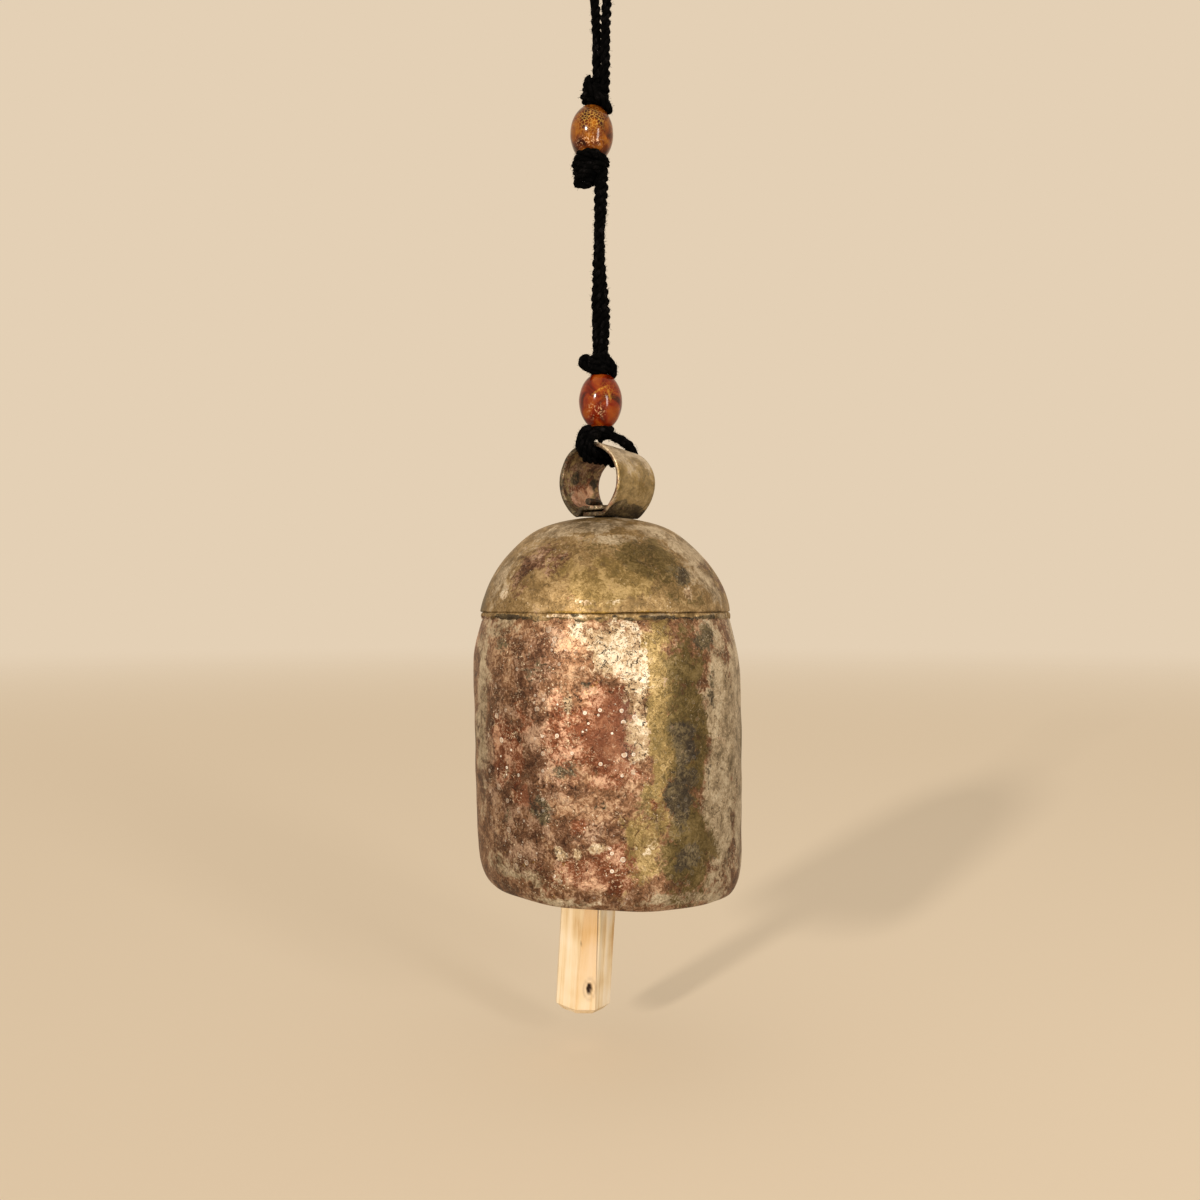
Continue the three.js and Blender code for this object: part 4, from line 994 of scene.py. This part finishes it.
CAP_PATCHES = {
    "umber": [(-34, 14, 10.1, 4.4, 0.75), (-44, 9, 4.3, 5.9, 0.65), (-28, 18, 5.9, 2.6, 0.5), (45, 3, 5.9, 1.8, 0.4)],
    "copper": [(-14, 4, 4.8, 1.5, 0.4)],
    # The gold low at the front, at -1 and 14 degrees, is partly a painted highlight
    "gold": [(-1, 8, 12.0, 6.2, 1.1), (14, 5, 5.9, 3.5, 0.8)],
    "olive": [(22, 14, 9.0, 5.0, 0.9), (-8, 16, 7.4, 2.6, 0.4), (29, 8, 5.4, 4.4, 0.7), (45, 4, 7.4, 2.3, 0.5)],
    "cream": [(3, 8, 3.1, 1.5, 0.45), (-3, 3, 9.4, 0.9, 0.5), (-54, 5, 1.8, 1.8, 1), (39, 5, 1.7, 1.5, 0.9)],
    "soot": [(39, 9, 3.0, 3.8, 0.95), (31, 11, 2.7, 2.1, 0.4), (-24, 14, 0.9, 0.6, 1)],
    # The grey round the top, 19 to 23 mm up, is partly painted light on the upturned top, and the grey at the right,
    # from 46 to 68 degrees, partly painted light on that side
    "grey": [(68, 16, 12.6, 5.9, 1), (59, 7, 4.5, 4.4, 1), (46, 10, 6, 6, 0.7), (-61, 5, 6.4, 3.8, 0.6),
             (-55, 14, 5.8, 3.8, 0.55), (-6, 23, 15.7, 2.3, 1), (-45, 21, 8.1, 2.1, 0.9), (37, 21, 6.6, 2.3, 0.9),
             (8, 19, 10.5, 1.5, 0.7), (-64, 9, 5.0, 5.0, 0.9)],
    # The bright line along the lip is partly a painted highlight on its rounded edge
    "bright": [(-4, 0.1, 17.0, 0.35, 0.95)],
}
SEAM_PATCHES = {
    "cream": [(-18, -0.9, 6.0, 0.8, 0.95), (4, -1.2, 6.0, 1.1, 0.5)],
    "gold": [(10, -1.0, 9.0, 1.2, 0.6)],
    # The long thin soot lines at -48, -22 and 38 degrees are partly scorch and partly a painted shadow along the seam's
    # lower edge
    "soot": [(-14, -0.6, 1.0, 0.5, 1.2), (-3, -1.4, 1.4, 0.5, 1.2), (3, -0.7, 0.9, 0.4, 1.1), (9, -1.5, 1.2, 0.6, 1.2),
             (15, -0.8, 1.5, 0.5, 1.1), (22, -1.3, 1.4, 0.6, 1.2), (-22, -2.6, 12.0, 0.5, 1.3),
             (38, -1.7, 14.0, 1.1, 1.2), (-48, -1.5, 9.0, 1.2, 1.1), (5, -2.0, 3.0, 0.5, 0.8)],
    "grey": [(20, -0.8, 5.0, 0.8, 0.8), (60, -1.0, 8.0, 1.0, 0.8)],
}
SHELL_METAL = fired_metal("fired_copper_and_brass_crust", ["#523724", "#8c6548", "#cdab8b"], 1.0, 0.46)
CAP_METAL = fired_metal("fired_olive_brass", ["#705b3a", "#937950", "#bea379"], 0.5, 0.5)
bell_shell(SHELL_METAL)
crown_cap(CAP_METAL)
brazed_seam(CAP_METAL)


# Strap

def strap_line():
    """The strip's middle line in XZ, from its flat foot once round to the second foot lapped inside."""
    middle = (STRAP_OUTER_DIAMETER - STRAP_THICKNESS) / 2
    foot = STRAP_CENTRE_Z - STRAP_SEAT_DROP + STRAP_THICKNESS / 2
    lap = foot + STRAP_THICKNESS + SEAT
    turn = math.acos((STRAP_CENTRE_Z - foot) / middle)
    begin, finish = turn - math.pi / 2, 1.5 * math.pi - turn
    line = [(-middle * 0.18, foot), (0, foot)]
    steps = 96
    for k in range(steps + 1):
        angle = begin + (finish - begin) * k / steps
        line.append((middle * math.cos(angle), STRAP_CENTRE_Z + middle * math.sin(angle)))
    return line + [(middle * share, z) for share, z in (
        (-0.38, foot + 0.25), (-0.3, lap - 0.2), (-0.22, lap), (0.1, lap), (0.43, lap))]


def strap(material):
    """The curled strip, dented and pressed a little out of round, with its stains by side and height, and a painted
    highlight towards its top and along its cut edge.
    """
    line = strap_line()
    half, thick = STRAP_WIDTH / 2, STRAP_THICKNESS / 2
    section = [(-half + 0.35 + (2 * half - 0.7) * k / 20, thick) for k in range(21)]
    section += [(half - 0.1, thick - 0.12), (half, 0), (half - 0.1, 0.12 - thick)]
    section += [(-y, -t) for y, t in section]
    points, faces, outside = [], [], []
    for i, (x, z) in enumerate(line):
        before, after = line[max(i - 1, 0)], line[min(i + 1, len(line) - 1)]
        run = Vector((after[0] - before[0], after[1] - before[1])).normalized()
        across = Vector((run.y, -run.x))
        foot = max(0.0, 1 - (z - STRAP_CENTRE_Z + STRAP_SEAT_DROP) / 3)
        for y, t in section:
            wavy = 0.16 * noise.noise(Vector((x, z, 0)) * 0.22 + Vector((0, 0, 5 if y > 0 else 1)))
            dent = 0.1 * noise.noise(Vector((x, y, z)) * 0.28)
            # The foot's edges bend down on to the dome
            bent = 0.6 * foot * (y / half) ** 2
            # The ring was pressed lower at its far edge
            raised = max(0.0, (z - STRAP_CENTRE_Z) / STRAP_RADIUS)
            bent += STRAP_FAR_DROP * (0.5 + 0.5 * y / half) ** 1.2 * raised ** 0.7
            points.append((BELL_X + x + across.x * (t + dent), y + wavy * y / half, z + across.y * (t + dent) - bent))
            outside.append(t > 0.3)
    n = len(section)
    for i in range(len(line) - 1):
        for c in range(n):
            d = (c + 1) % n
            faces.append((i * n + c, i * n + d, (i + 1) * n + d, (i + 1) * n + c))
    faces.append(tuple(reversed(range(n))))
    faces.append(tuple((len(line) - 1) * n + c for c in range(n)))
    made = piece("curled_strap", points, faces, material)
    stains = {kind: np.zeros(len(points)) for kind in SHADES}
    for i, p in enumerate(points):
        up = (p[2] - STRAP_CENTRE_Z) / STRAP_RADIUS
        wobble = noise.noise(Vector(p) * 0.25) * 0.35
        if outside[i]:
            # Outside, the grey grows towards the top, partly a painted highlight where the top catches light
            stains["grey"][i] = held(0.9 * (up + wobble) + 0.3)
            stains["gold"][i] = 0.7 * near(up + wobble, -0.05, 0.75)
            stains["soot"][i] = min(1.7, max(0, (-up + 0.5 * wobble - 0.56) * 9))
        else:
            stains["umber"][i] = 0.7 + 0.6 * wobble
            stains["soot"][i] = held(0.3 + 0.9 * wobble + 1.5 * max(0, -up - 0.6))
        if abs(p[1]) > half - 0.3:
            # The cut edge has dulled to grey, which also paints a highlight along it, and is darker along the left wall
            # and towards the feet
            stains["grey"][i] = 1.4 + wobble
            stains["soot"][i] = min(1.0, (0.85 if p[0] < BELL_X - 2 else 0.1) + 1.2 * max(0.0, -up - 0.3) + wobble)
    for kind, x, y, z, reach, strength in STRAP_BLOTS:
        for i, p in enumerate(points):
            if not outside[i]:
                away = math.dist((p[0] - BELL_X, p[1], p[2] - STRAP_CENTRE_Z), (x, y, z)) / reach
                painted = strength * held(1.5 - away)
                stains[kind][i] = max(stains[kind][i], painted)
                if kind != "soot":
                    stains["soot"][i] *= 1 - min(1, painted)
    for kind in SHADES:
        store(made, kind, stains[kind])
    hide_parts("hanger_strap")
    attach(made, "bell")


# Blots inside the left wall: x, y, z from the strap's centre, reach and strength
STRAP_BLOTS = (
    ("copper", -8.2, -1.4, -4.6, 4.4, 1.8), ("copper", -8.9, 1.2, -3.2, 2.2, 1.2), ("copper", -9.4, 3.5, 0.5, 1.8, 0.9),
    ("peach", -7.4, -2.0, -5.6, 3.4, 1.7), ("peach", -8.6, 0.6, -2.6, 1.7, 1.1), ("peach", -9.0, 3.8, -1.4, 1.5, 1.0),
    ("cream", -8.6, -4.6, -4.2, 1.6, 0.9), ("soot", -9.4, -2.7, 1.4, 1.9, 1.2), ("soot", -9.5, 5.6, 0.5, 1.7, 1.3),
    ("soot", -8.9, -5.6, -2.6, 1.6, 1.3), ("soot", -7.0, -4.6, -6.4, 1.6, 1.2), ("grey", -9.4, -2.7, 1.4, 0.8, 0.6),
    ("grey", -9.5, 5.6, 0.5, 0.6, 0.5), ("grey", -9.0, -5.5, -2.0, 1.6, 0.7))
STRAP_METAL = fired_metal("pale_brass_strip", ["#82704c", "#ab9366", "#cfb584"], 0.3, 0.38)
strap(STRAP_METAL)


# Clapper

def bare_wood():
    """A branch of pale softwood, split and whittled square: dry, unvarnished, with faint long straight grain."""
    material, tree, place = new_material("whittled_pale_softwood")
    grain_place = add(tree, "ShaderNodeAttribute", {"attribute_name": "grain"})
    # Grain lines run the stick's length, about 2.4 mm apart with finer ones between
    stretched = add(tree, "ShaderNodeMapping", values={"Vector": grain_place.outputs["Vector"], "Scale": (1, 1, 0.03)})
    rings = add(tree, NOISE,
                values={"Vector": stretched, "Scale": 0.42, "Detail": 4, "Roughness": 0.5, "Distortion": 0.4})
    fibres = add(tree, NOISE, values={"Vector": stretched, "Scale": 3.6, "Detail": 3, "Roughness": 0.65})
    broad = add(tree, NOISE, values={"Vector": place, "Scale": 0.1, "Detail": 2})
    lines = add(tree, MATH, "MULTIPLY", [rings, 0.75])
    lines = add(tree, MATH, "MULTIPLY_ADD", [fibres, 0.25, lines])
    shade = add(tree, MATH, "MULTIPLY_ADD", [broad, 0.5, lines])
    colour = add(tree, "ShaderNodeValToRGB", values={"Fac": shade},
                 stops=[(0.54, "#d0a670"), (0.66, "#e8ca9c"), (0.76, "#f4dbb4"), (0.92, "#fbe8cc")])
    for mark, stained in (("tan", "#cf9c58"), ("pale", "#f9dfa9"), ("dark", "#2e180a")):
        marked = add(tree, "ShaderNodeAttribute", {"attribute_name": mark})
        colour = add(tree, "ShaderNodeMix", COLOURS, {0: marked.outputs["Fac"], 6: colour, 7: stained})
    rough = add(tree, MAP_RANGE, values={"Value": fibres, "To Min": 0.6, "To Max": 0.8})
    bump = add(tree, "ShaderNodeBump", values={"Height": lines, "Strength": 0.4, "Distance": 0.2 * MM})
    shader = add(tree, "ShaderNodeBsdfPrincipled", values={
        "Base Color": colour, "Roughness": rough, "Normal": bump, "Specular IOR Level": 0.3})
    add(tree, "ShaderNodeOutputMaterial", values={"Surface": shader})
    return material


def perimeter(side, bevel, count):
    """Points round a square, evenly spaced, each with its distance from the first corner. The bevel is the front and
    the back one; the two at the sides stay narrow."""
    a, b = side / 2, side / 2 - bevel
    c = side / 2 - CLAPPER_BEVEL
    corners = [(a, -b), (a, c), (c, a), (-b, a), (-a, b), (-a, -c), (-c, -a), (b, -a)]
    lengths = [math.dist(corners[i], corners[(i + 1) % 8]) for i in range(8)]
    total, out = sum(lengths), []
    for k in range(count):
        at = total * k / count
        for i in range(8):
            if at <= lengths[i] or i == 7:
                share = min(1, at / lengths[i])
                p, q = corners[i], corners[(i + 1) % 8]
                out.append((p[0] + (q[0] - p[0]) * share, p[1] + (q[1] - p[1]) * share, total * k / count))
                break
            at -= lengths[i]
    return out


def clapper():
    """The whittled stick: bevels that widen over its foot, a knot hole, a groove where a splinter came away, and a
    tongue with a cross hole at the top."""
    top = CLAPPER_TOP_ABOVE_HOLE
    bottom = top - CLAPPER_LENGTH
    shoulder = top - CLAPPER_TONGUE_HEIGHT
    heights = [top - (top - shoulder) * k / 14 for k in range(15)] + [shoulder - 0.05]
    heights += [shoulder - 0.05 - (shoulder - bottom - CLAPPER_END_HEIGHT) * k / 110 for k in range(1, 111)]
    rows = []
    for z in heights:
        foot = max(0.0, (bottom + CLAPPER_FOOT_LENGTH - z) / (CLAPPER_FOOT_LENGTH - CLAPPER_END_HEIGHT))
        rows.append((z, CLAPPER_SIDE, CLAPPER_BEVEL + (CLAPPER_FOOT_BEVEL - CLAPPER_BEVEL) * min(1, foot)))
    for up, wider in ((0.1, 0.2), (0, 0)):
        rows.append((bottom + up, CLAPPER_END_SIDE + wider, 0.8 * CLAPPER_FOOT_BEVEL))
    count = 200
    points, faces, grain = [], [], []
    marks = {"dark": [], "tan": [], "pale": []}
    for z, side, bevel in rows:
        for x, y, at in perimeter(side, bevel, count):
            if z >= shoulder:
                y = max(-CLAPPER_TONGUE_THICKNESS / 2, min(CLAPPER_TONGUE_THICKNESS / 2, y))
            # The face to the camera is the bevel between +x and -y, where the square's outline starts and ends
            on_bevel = near((x - y) / 2 - (side - bevel) / 2, 0, 0.5)
            across = (x + y) / math.sqrt(2)
            low = near(z, -88, 30) if z < -88 else 1.0
            groove = near(at, 0.35, 0.4) * low
            ridge = near(at, 1.25, 0.7) * low
            from_hole = math.hypot((across - KNOT_HOLE[0]) / 0.75, (z - KNOT_HOLE[1]) / 1.2)
            hole = min(1.0, 2.4 * near(from_hole, 0, 1.5)) * on_bevel
            rings = near(from_hole, 2.3, 0.7) * on_bevel
            speck = near(math.hypot(x - 3.2, (z + 100) / 1.2), 0, 0.5) * (1 if y < -side / 2 + 0.1 else 0)
            # The dark mark is painted shade in the knot hole and the groove, and the knot's own rings and a speck
            marks["dark"].append(min(1, hole * 1.3 + 0.5 * groove + 0.25 * rings + 0.7 * speck))
            marks["tan"].append((0.55 - 0.35 * near(z, -121, 26)) * on_bevel)
            marks["pale"].append(0.7 * ridge)
            scoop = 0.16 * noise.noise(Vector((x * 0.16, y * 0.16, z * 0.045)) + Vector((4, 2, 0)))
            fine = 0.04 * noise.noise(Vector((x * 0.7, y * 0.7, z * 0.06)))
            out = Vector((x, y, 0)).normalized() * (scoop + fine - 0.35 * groove + 0.15 * ridge - 0.9 * hole)
            points.append(Vector((x, y, z)) + out)
            grain.append((x, y, z))
    for i in range(len(rows) - 1):
        for c in range(count):
            d = (c + 1) % count
            faces.append((i * count + c, (i + 1) * count + c, (i + 1) * count + d, i * count + d))
    faces.append(tuple(range(count)))
    faces.append(tuple((len(rows) - 1) * count + c for c in reversed(range(count))))
    made = piece("whittled_clapper", points, faces, bare_wood(), smooth=False)
    for mark, values in marks.items():
        store(made, mark, values)

    # The cross hole, its walls painted dark as shade inside the bore
    n = 28
    angles = [2 * math.pi * k / n for k in range(n)]
    walls = [(CLAPPER_HOLE_RADIUS * math.cos(a), y, CLAPPER_HOLE_RADIUS * math.sin(a)) for y in (-9, 9) for a in angles]
    sides = [(k, k + n, (k + 1) % n + n, (k + 1) % n) for k in range(n)]
    sides += [tuple(range(n)), tuple(reversed(range(n, 2 * n)))]
    drill = piece("drill", walls, sides, made.data.materials[0])
    for mark in marks:
        store(drill, mark, [0.8 if mark == "dark" else 0.0] * len(walls))
    for part, places in ((made, grain), (drill, walls)):
        attribute = part.data.attributes.new("grain", "FLOAT_VECTOR", "POINT")
        attribute.data.foreach_set("vector", [v for g in places for v in g])
    bore = made.modifiers.new("bore", "BOOLEAN")
    bore.object = drill
    bore.operation = "DIFFERENCE"
    bored = plain_mesh(made)
    made.modifiers.clear()
    made.data = bored
    bpy.data.objects.remove(drill)
    lean = Matrix.Rotation(math.radians(CLAPPER_LEAN_DEG), 4, "Y")
    made.data.transform(Matrix.Translation((BELL_X * MM, 0, CLAPPER_HOLE_Z * MM)) @ lean)
    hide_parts("clapper")
    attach(made, "clapper")


clapper()


# Wires

def oxidised_wire():
    """Annealed iron wire, dark with oxide and rusty in patches."""
    material, tree, place = new_material("annealed_iron_wire")
    rust = add(tree, NOISE, values={"Vector": place, "Scale": 0.9, "Detail": 4, "Roughness": 0.65})
    colour = add(tree, "ShaderNodeValToRGB", values={"Fac": rust},
                 stops=[(0.35, "#332d27"), (0.5, "#574c40"), (0.68, "#7a5c45")])
    rough = add(tree, MAP_RANGE, values={"Value": rust, "To Min": 0.4, "To Max": 0.8})
    bump = add(tree, "ShaderNodeBump", values={"Height": rust, "Strength": 0.5, "Distance": 0.15 * MM})
    shader = add(tree, "ShaderNodeBsdfPrincipled", values={
        "Base Color": colour, "Roughness": rough, "Normal": bump, "Metallic": 0.85})
    add(tree, "ShaderNodeOutputMaterial", values={"Surface": shader})
    return material


WIRE = oxidised_wire()
for wire_node in ("clapper_staple", "clapper_link"):
    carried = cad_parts[wire_node]
    carried.data.materials.clear()
    carried.data.materials.append(WIRE)


# Floor, background and lights

BACKGROUND = "#e4d0b5"


def plain_floor():
    """A pale matte floor. Far away it fades into the background, and to the camera it is as bright as that."""
    material, tree, _ = new_material("plain_pale_floor")
    ray = add(tree, "ShaderNodeLightPath")
    shader = add(tree, "ShaderNodeBsdfPrincipled", values={
        "Base Color": "#dfd0bb", "Roughness": 0.95, "Specular IOR Level": 0.0,
        "Emission Color": "#8a765b", "Emission Strength": ray.outputs["Is Camera Ray"]})
    own = add(tree, "ShaderNodeTexCoord")
    far = add(tree, VECTOR_MATH, "LENGTH", [own.outputs["Object"]])
    fade = add(tree, MAP_RANGE, SMOOTH, {"Value": far, "From Min": 0.6, "From Max": 3.0})
    clear = add(tree, "ShaderNodeBsdfTransparent")
    both = add(tree, "ShaderNodeMixShader", values={0: fade, 1: shader, 2: clear})
    add(tree, "ShaderNodeOutputMaterial", values={"Surface": both})
    mesh = bpy.data.meshes.new("floor")
    mesh.from_pydata([(-4, -4, 0), (4, -4, 0), (4, 4, 0), (-4, 4, 0)], [], [(0, 1, 2, 3)])
    mesh.materials.append(material)
    floor = placed("floor", mesh)
    floor.location.z = FLOOR_HEIGHT


def world_light(strength):
    """Soft light from all round, with a plain pale background where the camera or a reflection sees it."""
    world = bpy.data.worlds.new("studio")
    bpy.context.scene.world = world
    world.use_nodes = True
    tree = world.node_tree
    tree.nodes.clear()
    soft = add(tree, "ShaderNodeBackground", values={"Color": "#f7f1e8", "Strength": strength})
    seen = add(tree, "ShaderNodeBackground", values={"Color": BACKGROUND, "Strength": 1.0})
    ray = add(tree, "ShaderNodeLightPath").outputs
    either = add(tree, MATH, "MAXIMUM", [ray["Is Camera Ray"], ray["Is Glossy Ray"]])
    either = add(tree, MATH, "MAXIMUM", [either, ray["Is Transmission Ray"]])
    both = add(tree, "ShaderNodeMixShader", values={0: either, 1: soft, 2: seen})
    add(tree, "ShaderNodeOutputWorld", values={"Surface": both})


def lamp(name, kind, shade, settings, place, aim):
    """A lamp at a place, in metres, that shines along aim."""
    data = bpy.data.lights.new(name, kind)
    data.color = linear(shade)[:3]
    for key, value in settings.items():
        setattr(data, key, value)
    made = placed(name, data)
    made.location = place
    made.rotation_mode = "QUATERNION"
    made.rotation_quaternion = aim.to_track_quat("-Z", "Y")


def low_sun():
    """The main light: from the camera's left, low enough to throw the bell's shadow to the right and back."""
    travels = RIGHT * 0.5 - TOWARDS_CAMERA * 0.866 - Vector((0, 0, math.tan(math.radians(15))))
    lamp("low_sun", "SUN", "#fff4e4", {"energy": 2.0, "angle": math.radians(5)}, (0, 0, 0), travels)


def soft_strip():
    """A tall soft lamp to the camera's right, for the upright sheen on the metal."""
    bell = Vector((BELL_X * MM, 0, -0.21))
    place = bell + RIGHT * 0.5 + TOWARDS_CAMERA * 0.74 + Vector((0, 0, 0.12))
    lamp("soft_strip", "AREA", "#fffaf2", {"shape": "RECTANGLE", "size": 0.14, "size_y": 0.5, "energy": 3.8}, place,
         bell - place)


plain_floor()
world_light(0.42)
low_sun()
soft_strip()

bpy.context.scene.view_settings.view_transform = "Standard"
